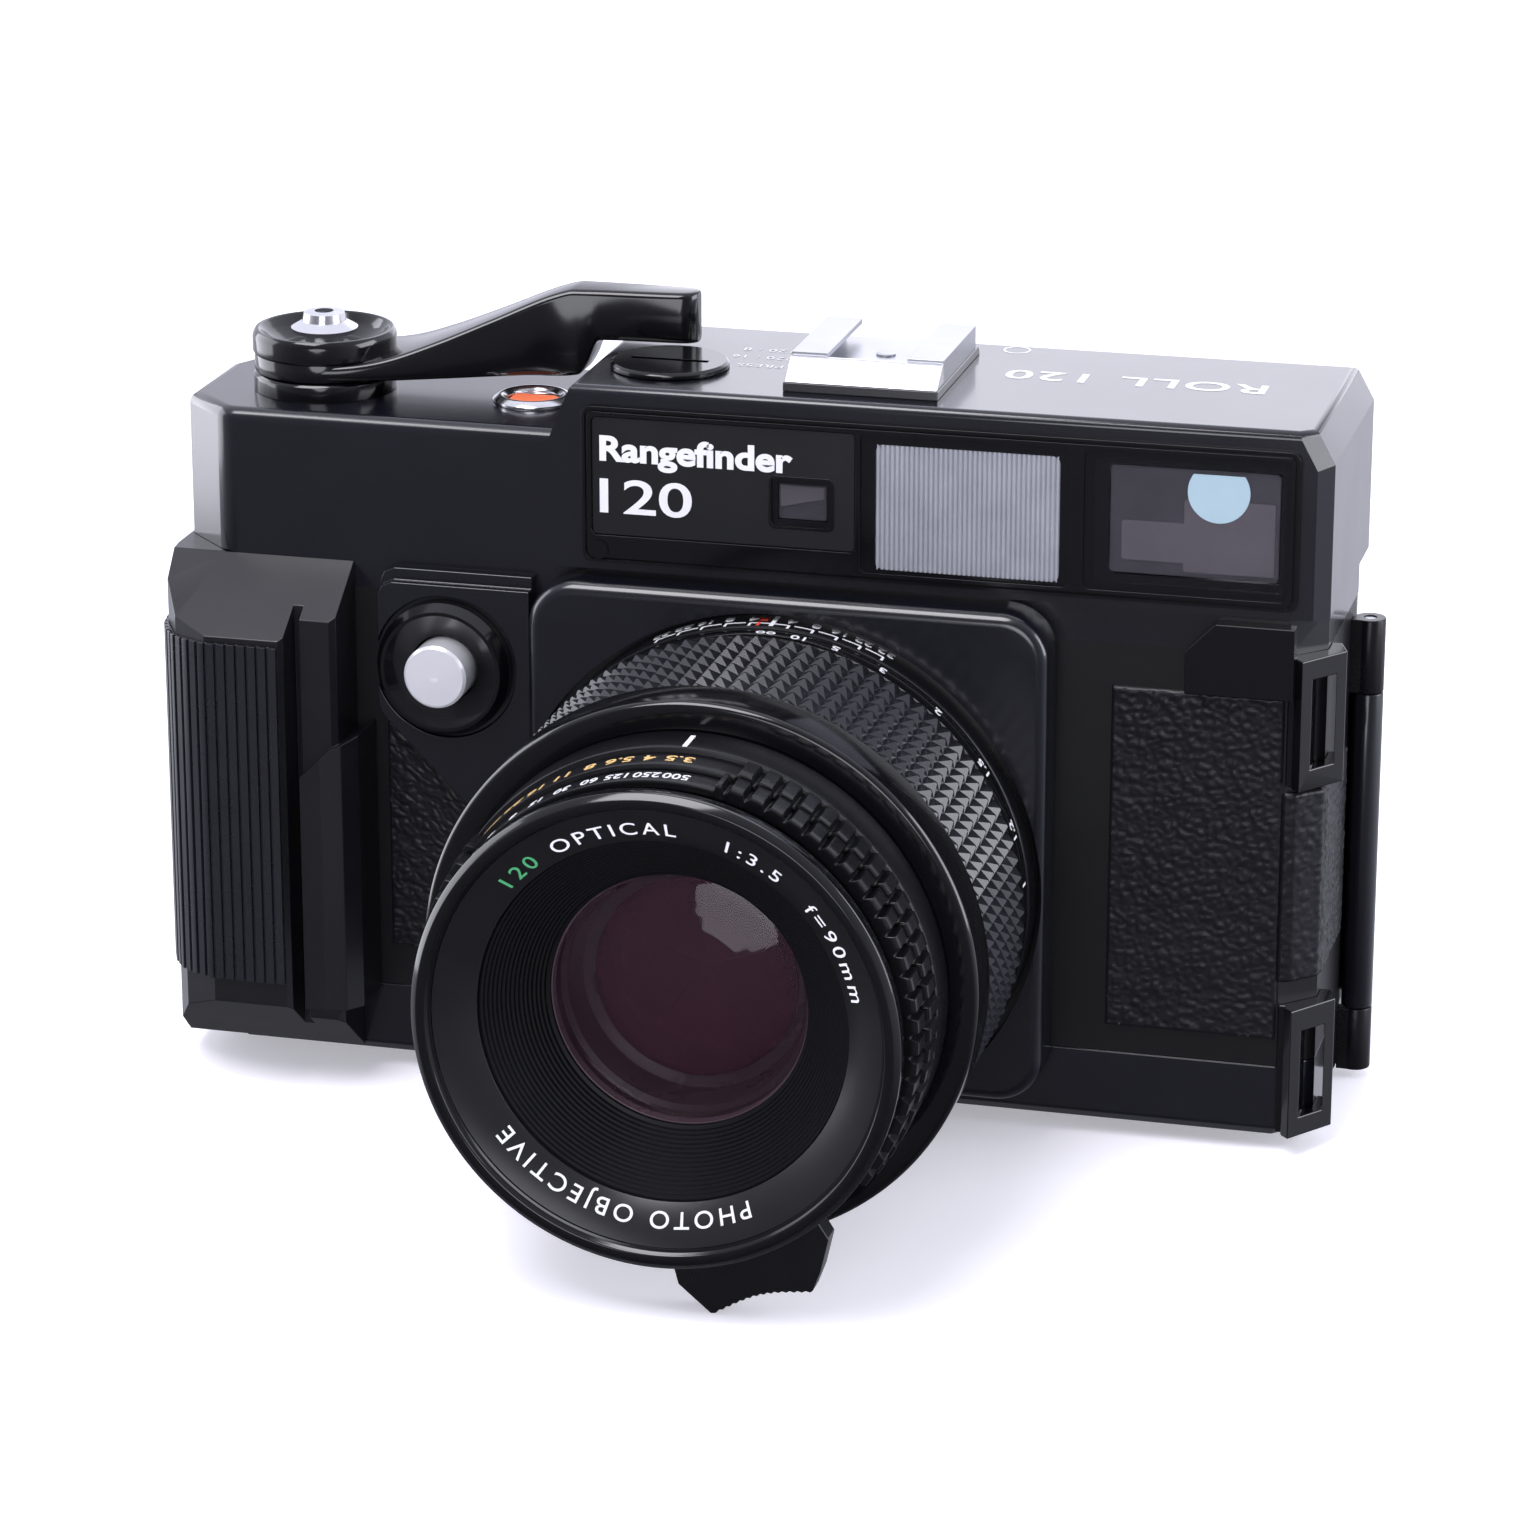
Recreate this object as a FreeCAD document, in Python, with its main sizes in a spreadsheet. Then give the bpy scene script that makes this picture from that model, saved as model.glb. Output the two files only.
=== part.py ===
import FreeCAD, Part
import math
import os
import Sketcher

# A fixed-lens rangefinder camera for 6 x 9 cm pictures on roll film.
# Millimetres. X runs along the body towards the finder, Y from the lens to the back,
# Z up. The origin is the mouth of the tripod socket, below the lens axis.

SIZES = {
    # lens axis and the planes of the body
    "lens_height": 41.0, "front_plane": -18.0, "rear_plane": 18.0, "back_plane": 23.0,
    "base_seam": 12.8, "top_seam": 83.0, "deck_height": 112.0, "housing_height": 120.7,
    "body_left": -105.0, "body_right": 88.5, "corner_left": 9.0, "corner_right": 5.5,
    "casing_wall": 2.2, "panel_gap": 0.3,
    # rangefinder housing
    "housing_left": -35.0, "housing_foot": -39.0, "housing_front": -21.0, "housing_low": 90.0,
    "housing_right": 86.2,
    # film chambers and picture gate
    "gate_width": 83.0, "gate_tall": 54.0, "gate_floor": 12.0, "chamber_low": 14.5, "chamber_high": 80.5,
    "spool_left": -84.0, "spool_right": 70.0, "spool_flange": 12.6, "spool_core": 6.0,
    # lens, as distances from the body's front plane and radii
    "filter_bore": 36.0, "front_radius": 38.6, "barrel_radius": 40.3,
    "tube_radius": 38.8, "tube_bore": 35.0, "sleeve_radius": 37.0, "speed_radius": 40.0,
    "aperture_radius": 40.5, "gloss_radius": 44.8, "grip_seat": 42.2, "grip_radius": 44.4,
    "scale_radius": 43.6, "depth_radius": 43.8, "recess_radius": 45.0, "mount_bore": 39.2,
    "glass_radius": 20.4, "name_bore": 29.4, "name_rim": 35.6,
    # controls
    "lever_radius": 11.8, "lever_base": 115.4, "button_x": -56.8, "button_z": 71.3,
    "dial_x": -22.5, "dial_y": -5.5, "dial_radius": 9.8, "shoe_x": 12.1,
    "counter_x": -47.4, "counter_y": -0.8,
    # hinge of the back door
    "hinge_x": 91.3, "hinge_y": 15.0, "knuckle_radius": 2.6, "pin_radius": 1.0,
    "knuckle_low": 12.0, "knuckle_high": 67.8,
    # tripod socket
    "socket_radius": 3.175, "socket_depth": 6.5,
}

doc = FreeCAD.newDocument("camera")
sheet = doc.addObject("Spreadsheet::Sheet", "Sizes")
for row, (alias, value) in enumerate(SIZES.items(), 1):
    sheet.set("A%d" % row, alias)
    sheet.set("B%d" % row, str(value))
    sheet.setAlias("B%d" % row, alias)
doc.recompute()


class Size:
    """A length that remembers the formula it came from, for use in expressions."""

    def __init__(self, value, text):
        self.value = float(value)
        self.text = text

    def __add__(self, other):
        other = size(other)
        return Size(self.value + other.value, "(%s + %s)" % (self.text, other.text))

    def __sub__(self, other):
        other = size(other)
        return Size(self.value - other.value, "(%s - %s)" % (self.text, other.text))

    def __mul__(self, factor):
        return Size(self.value * factor, "(%s * %.6f)" % (self.text, factor))

    def __neg__(self):
        return self * -1

    def __rsub__(self, other):
        return size(other) - self

    __radd__ = __add__
    __rmul__ = __mul__


def size(number):
    if isinstance(number, Size):
        return number
    return Size(number, "(%.6f)" % number)


class Cells:
    pass


S = Cells()
for alias, value in SIZES.items():
    setattr(S, alias, Size(value, "Sizes." + alias))

PIECES = []


def keep(thing, name):
    """Mark an object as one piece of the camera."""
    thing.Label = name
    PIECES.append(thing)
    return thing


def bind(thing, **lengths):
    for prop, length in lengths.items():
        thing.setExpression(prop.replace("_", "."), size(length).text)


# ------------------------------------------------------------------ plain solids
def block(name, x, y, z):
    """A box from x[0] to x[1], y[0] to y[1] and z[0] to z[1]."""
    thing = doc.addObject("Part::Box", name)
    x, y, z = [[size(v) for v in pair] for pair in (x, y, z)]
    bind(thing, Length=x[1] - x[0], Width=y[1] - y[0], Height=z[1] - z[0],
         Placement_Base_x=x[0], Placement_Base_y=y[0], Placement_Base_z=z[0])
    return thing


TURN = {"X": FreeCAD.Rotation(FreeCAD.Vector(0, 1, 0), 90),
        "Y": FreeCAD.Rotation(FreeCAD.Vector(1, 0, 0), -90),
        "Z": FreeCAD.Rotation()}


def rod(name, axis, radius, span, at):
    """A cylinder along an axis; at gives its place on the other two axes."""
    thing = doc.addObject("Part::Cylinder", name)
    thing.Placement = FreeCAD.Placement(FreeCAD.Vector(), TURN[axis])
    start, end = size(span[0]), size(span[1])
    place = list(at)
    place.insert("XYZ".index(axis), start)
    bind(thing, Radius=radius, Height=end - start, Placement_Base_x=place[0],
         Placement_Base_y=place[1], Placement_Base_z=place[2])
    return thing


def joined(name, things):
    thing = doc.addObject("Part::MultiFuse", name)
    thing.Shapes = things
    return thing


def cut(name, base, *tools):
    thing = doc.addObject("Part::Cut", name)
    thing.Base = base
    thing.Tool = tools[0] if len(tools) == 1 else joined(name + "_tools", list(tools))
    return thing


def group(name, things):
    """Separate solids that share one piece name."""
    thing = doc.addObject("Part::Compound", name)
    thing.Links = things
    return thing


# ------------------------------------------------------------------ sketched solids
PLANES = {"XY": ("XY_Plane", 1), "XZ": ("XZ_Plane", -1), "YZ": ("YZ_Plane", 1)}


class Piece:
    """A PartDesign body made from sketches on its own origin planes."""

    def __init__(self, name, at=None):
        self.body = doc.addObject("PartDesign::Body", name)
        if at:
            bind(self.body, Placement_Base_x=at[0], Placement_Base_y=at[1],
                 Placement_Base_z=at[2])

    def sketch(self, plane, outlines, offset=0.0):
        role, side = PLANES[plane]
        sketch = self.body.newObject("Sketcher::SketchObject", "Sketch")
        origin = [f for f in self.body.Origin.OriginFeatures if f.Role == role][0]
        sketch.AttachmentSupport = [(origin, "")]
        sketch.MapMode = "FlatFace"
        sketch.setExpression("AttachmentOffset.Base.z", (size(offset) * side).text)
        for outline in outlines:
            if outline[0] == "circle":
                draw_circle(sketch, *outline[1:])
            else:
                draw_polygon(sketch, outline)
        return sketch

    def extrude(self, kind, plane, outlines, start, end):
        """Add or remove the outlines between two heights above the plane."""
        start, end = size(start), size(end)
        if outlines[0][0] != "circle":
            outlines = [outlines]
        adds = kind == "Pad"
        side = PLANES[plane][1]
        from_start = (side > 0) == adds
        sketch = self.sketch(plane, outlines, start if from_start else end)
        feature = self.body.newObject("PartDesign::" + kind, kind)
        feature.Profile = sketch
        feature.setExpression("Length", (end - start).text)
        return self

    def pad(self, plane, outlines, start, end):
        return self.extrude("Pad", plane, outlines, start, end)

    def pocket(self, plane, outlines, start, end):
        return self.extrude("Pocket", plane, outlines, start, end)

    def turn(self, kind, plane, profile):
        sketch = self.sketch(plane, [profile])
        feature = self.body.newObject("PartDesign::" + kind, kind)
        feature.Profile = sketch
        feature.ReferenceAxis = (sketch, ["V_Axis"])
        feature.Angle = 360
        return self

    def soften(self, kind, length, pick):
        """Fillet or chamfer the straight or curved edges that pick chooses."""
        doc.recompute()
        tip = self.body.Tip
        names = ["Edge%d" % (i + 1) for i, edge in enumerate(tip.Shape.Edges) if pick(edge)]
        if not names:
            raise ValueError(self.body.Name + ": no edge to soften")
        feature = self.body.newObject("PartDesign::" + kind, kind)
        feature.Base = (tip, names)
        prop = "Radius" if kind == "Fillet" else "Size"
        feature.setExpression(prop, size(length).text)
        return self


def pin_point(sketch, index, position, point):
    """Fix one end of a sketch edge, or a circle's centre, at a place given by sizes."""
    for kind, axis, length in (("DistanceX", -2, point[0]), ("DistanceY", -1, point[1])):
        if abs(length.value) < 1e-9:
            sketch.addConstraint(Sketcher.Constraint("PointOnObject", index, position, axis))
        else:
            rule = Sketcher.Constraint(kind, -1, 1, index, position, length.value)
            number = sketch.addConstraint(rule)
            sketch.setExpression("Constraints[%d]" % number, length.text)


def draw_polygon(sketch, outline):
    points = [[size(v) for v in point] for point in outline]
    ends = [FreeCAD.Vector(u.value, v.value, 0) for u, v in points]
    first = sketch.GeometryCount
    for i, end in enumerate(ends):
        sketch.addGeometry(Part.LineSegment(end, ends[(i + 1) % len(ends)]), False)
    for i, point in enumerate(points):
        pin_point(sketch, first + i, 1, point)
        after = first + (i + 1) % len(points)
        sketch.addConstraint(Sketcher.Constraint("Coincident", first + i, 2, after, 1))


def draw_circle(sketch, across, up, radius):
    across, up, radius = size(across), size(up), size(radius)
    centre = FreeCAD.Vector(across.value, up.value, 0)
    circle = Part.Circle(centre, FreeCAD.Vector(0, 0, 1), radius.value)
    index = sketch.addGeometry(circle, False)
    pin_point(sketch, index, 3, (across, up))
    number = sketch.addConstraint(Sketcher.Constraint("Radius", index, radius.value))
    sketch.setExpression("Constraints[%d]" % number, radius.text)


def turned(name, axis, at, profile):
    """A lathe-turned solid about the Y or Z axis; the profile is (radius, along) points."""
    return Piece(name, at).turn("Revolution", "XY" if axis == "Y" else "XZ", profile)


def lens_part(name, profile):
    """A turned solid about the lens axis."""
    return turned(name, "Y", (0, 0, S.lens_height), profile)


def rectangle(u0, v0, u1, v1):
    return [(u0, v0), (u1, v0), (u1, v1), (u0, v1)]


# Choosing edges ------------------------------------------------------------------
def runs(edge, axis):
    """True for a straight edge along X, Y or Z."""
    if not isinstance(edge.Curve, Part.Line):
        return False
    direction = edge.Curve.Direction
    return abs(abs(getattr(direction, axis.lower())) - 1) < 1e-4


def lies(edge, **places):
    """True where all of an edge lies at the given coordinates."""
    box = edge.BoundBox
    for axis, place in places.items():
        letter = axis.upper()
        low, high = getattr(box, letter + "Min"), getattr(box, letter + "Max")
        place = size(place).value
        if abs(low - place) > 0.02 or abs(high - place) > 0.02:
            return False
    return True


def middle(edge):
    return edge.BoundBox.Center


# ------------------------------------------------------------------ body and covers
def casing_outline(inset, rear, bevel_rear):
    """The plan of the casing: bevelled front corners, and bevelled rear ones if asked."""
    left, right = S.body_left + inset, S.body_right - inset
    front, slope = S.front_plane + inset, inset * 0.414
    plan = [(left + S.corner_left - slope, front), (left, front + S.corner_left - slope)]
    if bevel_rear:
        plan += [(left, rear - 6 - inset), (left + 6, rear - inset),
                 (right - 6, rear - inset), (right, rear - 6 - inset)]
    else:
        plan += [(left, rear), (right, rear)]
    return plan + [(right, front + S.corner_right - slope),
                   (right - S.corner_right + slope, front)]


def make_body_shell():
    """The die-cast body: two film chambers and the light chamber between them."""
    piece = Piece("body_shell")
    piece.pad("XY", casing_outline(0, S.rear_plane, False), S.base_seam, S.top_seam)
    piece.pad("XY", casing_outline(S.casing_wall + 0.1, S.rear_plane - 4, False),
              S.base_seam - 2, S.base_seam)
    chambers = [(S.body_left + 6, S.spool_left + 25, S.front_plane + 4),
                (S.spool_right - 15.5, S.body_right - 3, S.front_plane + 4)]
    for left, right, front in chambers:
        piece.pocket("XZ", rectangle(left, S.chamber_low, right, S.chamber_high),
                     front, S.rear_plane)
    half = S.gate_width * 0.5
    low, high = S.lens_height - S.gate_tall * 0.5, S.lens_height + S.gate_tall * 0.5
    piece.pocket("XZ", rectangle(-half, low, half, high), S.front_plane + 2.5, S.rear_plane)
    piece.pocket("XZ", rectangle(S.spool_left + 25, S.gate_floor, S.spool_right - 15.5,
                                 S.chamber_high), S.rear_plane - 3.2, S.rear_plane)
    piece.pocket("XZ", [("circle", 0, S.lens_height, S.mount_bore)],
                 S.front_plane, S.front_plane + 6)
    for x in (S.spool_left, S.spool_right):
        piece.pocket("XY", [("circle", x, 0, 3.3)], S.base_seam - 2, S.chamber_low)
    piece.pocket("XY", [("circle", S.spool_left, 0, 3.3)], S.chamber_high, S.top_seam)
    return keep(piece.body, "body_shell")


def make_film_gate():
    """The plate that frames the picture, with two polished rails for the film."""
    piece = Piece("film_gate")
    left, right = S.spool_left + 25.2, S.spool_right - 15.7
    piece.pad("XZ", rectangle(left, S.gate_floor, right, S.chamber_high - 0.2),
              S.rear_plane - 3.2, S.rear_plane - 1.6)
    half = S.gate_width * 0.5
    low, high = S.lens_height - S.gate_tall * 0.5, S.lens_height + S.gate_tall * 0.5
    for rail in (low - 1.8, high + 0.6):
        piece.pad("XZ", rectangle(-half - 6, rail, half + 6, rail + 1.6),
                  S.rear_plane - 1.6, S.rear_plane - 0.6)
    piece.pocket("XZ", rectangle(-half, low, half, high), S.rear_plane - 3.2,
                 S.rear_plane - 0.6)
    return keep(piece.body, "film_gate")


BASE_SCREWS = ((-60, -12), (60, -12), (-60, 16), (60, 16), (30, -12))


def make_bottom_cover():
    piece = Piece("bottom_cover")
    piece.pad("XY", casing_outline(0, S.back_plane, True), 0, S.base_seam)
    piece.pocket("XY", casing_outline(S.casing_wall, S.back_plane, True),
                 S.casing_wall, S.base_seam)
    piece.pocket("XY", [("circle", 0, 0, 7)], 0, S.casing_wall)
    for x in (S.spool_left, S.spool_right):
        piece.pocket("XY", [("circle", x, 0, 9.3)], 0, S.casing_wall)
    for x, y in BASE_SCREWS:
        piece.pocket("XY", [("circle", x, y, 1.5)], 0, S.casing_wall)
    piece.soften("Chamfer", 1.8, lambda e: lies(e, z=0) and isinstance(e.Curve, Part.Line))
    return keep(piece.body, "bottom_cover")


def make_top_cover():
    """Top casting: the low deck under the lever and the tall rangefinder housing."""
    piece = Piece("top_cover")
    left, right, rear = S.body_left, S.body_right, S.back_plane
    deck = [(left + S.corner_left, S.front_plane), (left, S.front_plane + S.corner_left),
            (left, rear - 12), (left + 6, rear), (S.housing_left, rear),
            (S.housing_left, S.front_plane)]
    piece.pad("XY", deck, S.top_seam, S.deck_height)
    piece.soften("Fillet", 5.0, lambda e: runs(e, "Z") and middle(e).x < -90
                 and middle(e).y < -15)
    piece.soften("Fillet", 2.0, lambda e: lies(e, z=S.deck_height) and middle(e).x < -40)
    foot = [(S.housing_foot, S.front_plane), (S.housing_foot, rear), (right - 3, rear),
            (right, rear - 3), (right, S.front_plane + S.corner_right),
            (S.housing_right - 3, S.front_plane)]
    piece.pad("XY", foot, S.top_seam, S.housing_low + 1)
    housing = [(S.housing_foot, S.housing_low), (right + 1, S.housing_low),
               (right + 1, S.housing_height - 5.5), (right - 2, S.housing_height),
               (S.housing_left, S.housing_height), (S.housing_foot, S.deck_height - 1)]
    piece.pad("XZ", housing, S.housing_front, rear)
    piece.soften("Chamfer", 2.4, lambda e: lies(e, y=S.housing_front)
                 and middle(e).x > 85 and not runs(e, "X"))
    piece.soften("Fillet", 1.3, lambda e: lies(e, z=S.housing_height))
    wall = S.casing_wall
    piece.pocket("XY", [(left + S.corner_left + 1, S.front_plane + wall),
                        (left + wall, S.front_plane + S.corner_left + 1),
                        (left + wall, rear - 13), (left + 7, rear - wall),
                        (S.housing_left + 2, rear - wall),
                        (S.housing_left + 2, S.front_plane + wall)],
                 S.top_seam, S.deck_height - wall)
    piece.pocket("XY", rectangle(S.housing_left + 2, S.front_plane + wall,
                                 right - wall - 2.5, rear - wall),
                 S.top_seam, S.housing_height - wall)
    piece.pocket("XY", [("circle", S.spool_left, 0, 6.1)], S.deck_height - wall, S.deck_height)
    piece.pocket("XY", [("circle", S.counter_x, S.counter_y, 4.7)],
                 S.deck_height - wall, S.deck_height)
    piece.pocket("XY", [("circle", S.dial_x, S.dial_y, 3.1)],
                 S.housing_height - wall, S.housing_height)
    for window in ("rangefinder", "frame", "finder"):
        x0, z0, x1, z1 = WINDOWS[window]
        piece.pocket("XZ", rectangle(x0 + 1, z0 + 1, x1 - 1, z1 - 1),
                     S.housing_front, S.front_plane + wall)
    piece.pocket("XZ", [("circle", FINDER_AXIS[0], FINDER_AXIS[1], 7.5)], rear - wall, rear)
    return keep(piece.body, "top_cover")


# Windows in the housing: left, low, right and high edges, from the lens axis and base.
WINDOWS = {"rangefinder": (-1.3, 99.6, 8.8, 107.6), "frame": (15.9, 93.2, 46.1, 114.5),
           "finder": (53.0, 94.6, 82.5, 114.7)}
FINDER_AXIS = (67.8, 104.6)


def make_window_bezel():
    """The black surround in front of the housing, open at its three windows."""
    piece = Piece("window_bezel")
    front, face = S.housing_front - 0.9, S.housing_front
    piece.pad("XZ", rectangle(-33.0, 91.4, 84.6, 117.6), front, face)
    piece.soften("Fillet", 1.6, lambda e: runs(e, "Y"))
    piece.pocket("XZ", rectangle(-31.8, 95.6, 12.6, 116.6), front, front + 0.4)
    for x0, z0, x1, z1 in WINDOWS.values():
        piece.pocket("XZ", rectangle(x0, z0, x1, z1), front, face)
    return keep(piece.body, "window_bezel")


def make_windows():
    panes = []
    for window, (x0, z0, x1, z1) in WINDOWS.items():
        panes.append(block(window + "_pane", (x0, x1),
                           (S.housing_front - 0.5, S.housing_front), (z0, z1)))
    keep(group("front_windows", panes), "front_windows")


def make_standard():
    """The raised front standard that carries the lens, recessed round the lens mount."""
    piece = Piece("lens_standard")
    front = S.front_plane - 8
    outline = [(-41.5, 5), (45.5, 5), (45.5, 88.7), (-41.5, 88.7)]
    piece.pad("XZ", outline, front, S.front_plane)
    piece.soften("Fillet", 8.0, lambda e: runs(e, "Y"))
    piece.soften("Fillet", 2.0, lambda e: lies(e, y=front))
    piece.pocket("XZ", [("circle", 0, S.lens_height, S.recess_radius)], front,
                 S.front_plane - 4)
    piece.pocket("XZ", [("circle", 0, S.lens_height, S.mount_bore)],
                 S.front_plane - 4, S.front_plane)
    return keep(piece.body, "lens_standard")


def make_release_plate():
    piece = Piece("release_plate")
    front = S.front_plane - 4
    for top, face in ((87.3, front + 1.8), (85.3, front)):
        piece.pad("XZ", [(-67.8, 62.2), (-68.5, 64), (-68.5, top - 2.6),
                         (-67.7, top - 0.8), (-65.9, top), (-42.2, top), (-42.2, 44.5),
                         (-50.5, 44.5)], face, S.front_plane)
    piece.pocket("XZ", [("circle", S.button_x, S.button_z, 12.2)], front, front + 0.8)
    piece.pocket("XZ", [("circle", S.button_x, S.button_z, 7.9)], front, S.front_plane)
    return keep(piece.body, "release_plate")


# ------------------------------------------------------------------ grip and leather
def make_grip():
    """The hand grip: a finger swell, a column and a tall block, parted by a groove."""
    piece = Piece("grip")
    left, front = S.body_left, S.front_plane
    piece.pad("XY", [(-79.7, front), (-70.4, front), (-70.4, front - 9.5),
                     (-72.5, front - 12.3), (-76, front - 13.2), (-79.7, front - 13.2)],
              12, 61)
    piece.pocket("XZ", [(-79.7, 53), (-74.5, 58), (-70.4, 60), (-70.4, 61), (-79.7, 61)],
                 front - 14, front)
    plan = [(-73.6, front), (-73.6, front - 10), (-74.6, front - 11), (-79.7, front - 11),
            (-79.7, front - 8.5), (-81.4, front - 8.5), (-81.4, front - 14.2),
            (-82.2, front - 15)] + GRIP_SIDE
    plan += [(left - 0.7, front + 17), (left, front + 18), (left, front + S.corner_left),
             (left + S.corner_left, front)]
    piece.pad("XY", plan, 1, 87.3)
    # the top slopes forward from the seam, and the foot slopes back to the base
    piece.pocket("YZ", [(front, 87.3), (front, 95), (front - 30, 95), (front - 30, 71),
                        (front - 15, 77)], -120, -60)
    piece.pocket("YZ", [(front, 1), (front, -5), (front - 30, -5), (front - 30, 20),
                        (front - 16, 13.5)], -120, -60)
    return keep(piece.body, "grip")


# The grip's outer side in plan, and the same line moved out by the pad's thickness.
GRIP_SIDE = [(-95, S.front_plane - 15), (-101, S.front_plane - 12),
             (-104.6, S.front_plane - 5.5), (S.body_left - 0.7, S.front_plane + 3)]
PAD_SIDE = [(-95.2, S.front_plane - 15.8), (-101.5, S.front_plane - 12.65),
            (-105.37, S.front_plane - 5.7), (S.body_left - 1.5, S.front_plane + 3)]


def make_grip_pad():
    """The rubber pad let on to the grip, with upright grooves between its ribs."""
    front = S.front_plane - 15.8
    piece = Piece("grip_pad")
    rear = S.front_plane + 12
    plan = [(-82.2, front + 0.8)] + GRIP_SIDE + [(S.body_left - 0.7, rear),
                                                 (S.body_left - 1.5, rear)]
    piece.pad("XY", plan + PAD_SIDE[::-1] + [(-82.2, front)], 17, 76)
    for i in range(7):
        x = -83.8 - i * 1.8
        piece.pocket("XZ", rectangle(x - 0.25, 18, x + 0.25, 75), front, front + 0.5)
    return keep(piece.body, "grip_pad")


def make_leather():
    front = S.front_plane
    left = Piece("leatherette_left")
    left.pad("XZ", [(-68.3, 20), (-68.3, 61.8), (-50.8, 43.4), (-42.6, 43.4), (-42.6, 20)],
              front - 0.8, front)
    right, bend = S.body_right, S.corner_right
    piece = Piece("leatherette_right")
    skin = [(54.5, front - 0.8), (right - bend + 0.4, front - 0.8),
            (right + 0.8, front + bend - 0.4), (right + 0.8, front + 27),
            (right, front + 27), (right, front + bend), (right - bend, front), (54.5, front)]
    piece.pad("XY", skin, 17.5, 76)
    piece.pocket("XZ", rectangle(82.2, 10, 95, 27.5), front - 3, front + 14)
    piece.pocket("XZ", rectangle(82.2, 60, 95, 80), front - 3, front + 14)
    keep(group("leatherette_front", [left.body, piece.body]), "leatherette_front")


def make_lugs():
    """Two strap lugs on the finder side, each a slanted loop on a bracket."""
    front, right = S.front_plane, S.body_right
    slant = [(84.2, front - 1.2), (85.6, front - 2.6), (91.6, front + 5.4),
             (right + 1.6, front + 9.4), (right, front + 9.4), (right, front + 5.5),
             (right - 5.5, front), (84.2, front)]
    lugs = []
    for name, low, high, slot in (("strap_lug_upper", 61, 83, (64.5, 79.5)),
                                  ("strap_lug_lower", 1.2, 23.5, (4.5, 19.5))):
        piece = Piece(name)
        piece.pad("XY", slant, low, high)
        if name == "strap_lug_upper":
            piece.pad("XZ", [(66.6, 76.2), (84.2, 76.2), (84.2, 88.2), (71.4, 88.2),
                             (66.6, 83.2)], front - 2.6, front)
        piece.pocket("XZ", rectangle(87.0, slot[0], 90.2, slot[1]), front - 5, front + 12)
        lugs.append(piece.body)
    keep(group("strap_lugs", lugs), "strap_lugs")


# ------------------------------------------------------------------ back door
def make_door():
    piece = Piece("back_door")
    inner, outer = S.rear_plane + 0.3, S.back_plane
    left, right = S.body_left + 1.5, S.body_right - 0.5
    low, high = S.base_seam + 0.3, S.top_seam - 0.3
    piece.pad("XY", [(left, inner), (left + 5, outer), (right, outer), (right, inner)],
              low, high)
    piece.pad("XY", [(right, inner + 0.5), (right, outer),
                     (S.hinge_x - 0.5, outer), (S.hinge_x + 2.2, S.hinge_y + 1),
                     (S.hinge_x, S.hinge_y)],
              S.knuckle_low + 1.4, S.knuckle_high - 0.2)
    piece.pad("XY", [("circle", S.hinge_x, S.hinge_y, S.knuckle_radius)],
              S.knuckle_low + 0.2, S.knuckle_high - 0.2)
    piece.pocket("XZ", rectangle(-46, S.lens_height - 29, 46, S.lens_height + 30),
                 inner, inner + 2.6)
    piece.pocket("XY", [("circle", S.hinge_x, S.hinge_y, S.pin_radius + 0.05)],
                 0, S.top_seam)
    keep(piece.body, "back_door")
    keep(block("leatherette_back", (left + 8, right - 6), (outer, outer + 0.8),
               (low + 3, high - 3)), "leatherette_back")
    keep(block("pressure_plate", (-44.5, 44.5), (S.rear_plane - 0.3, inner + 0.6),
               (S.lens_height - 27, S.lens_height + 27)), "pressure_plate")
    springs = [block("leaf_%d" % i, (x - 9, x + 9), (inner + 1.9, inner + 2.6),
                     (S.lens_height - 3, S.lens_height + 3)) for i, x in enumerate((-24, 24))]
    keep(group("pressure_springs", springs), "pressure_springs")
    knuckles = []
    for name, low, high in (("knuckle_upper", S.knuckle_high, 80.4),
                            ("knuckle_lower", 1.1, S.knuckle_low)):
        piece = Piece(name)
        piece.pad("XY", rectangle(S.body_right, S.hinge_y - 2.4, S.hinge_x, S.hinge_y),
                  low, high)
        piece.pad("XY", [("circle", S.hinge_x, S.hinge_y, S.knuckle_radius)], low, high)
        piece.pocket("XY", [("circle", S.hinge_x, S.hinge_y, S.pin_radius)], low, high)
        knuckles.append(piece.body)
    keep(group("hinge_knuckles", knuckles), "hinge_knuckles")
    keep(rod("hinge_pin", "Z", S.pin_radius, (1.4, 80.2), (S.hinge_x, S.hinge_y)), "hinge_pin")
    keep(block("door_latch", (S.body_left - 1.2, S.body_left), (3, 12), (46, 60)),
         "door_latch")


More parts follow.
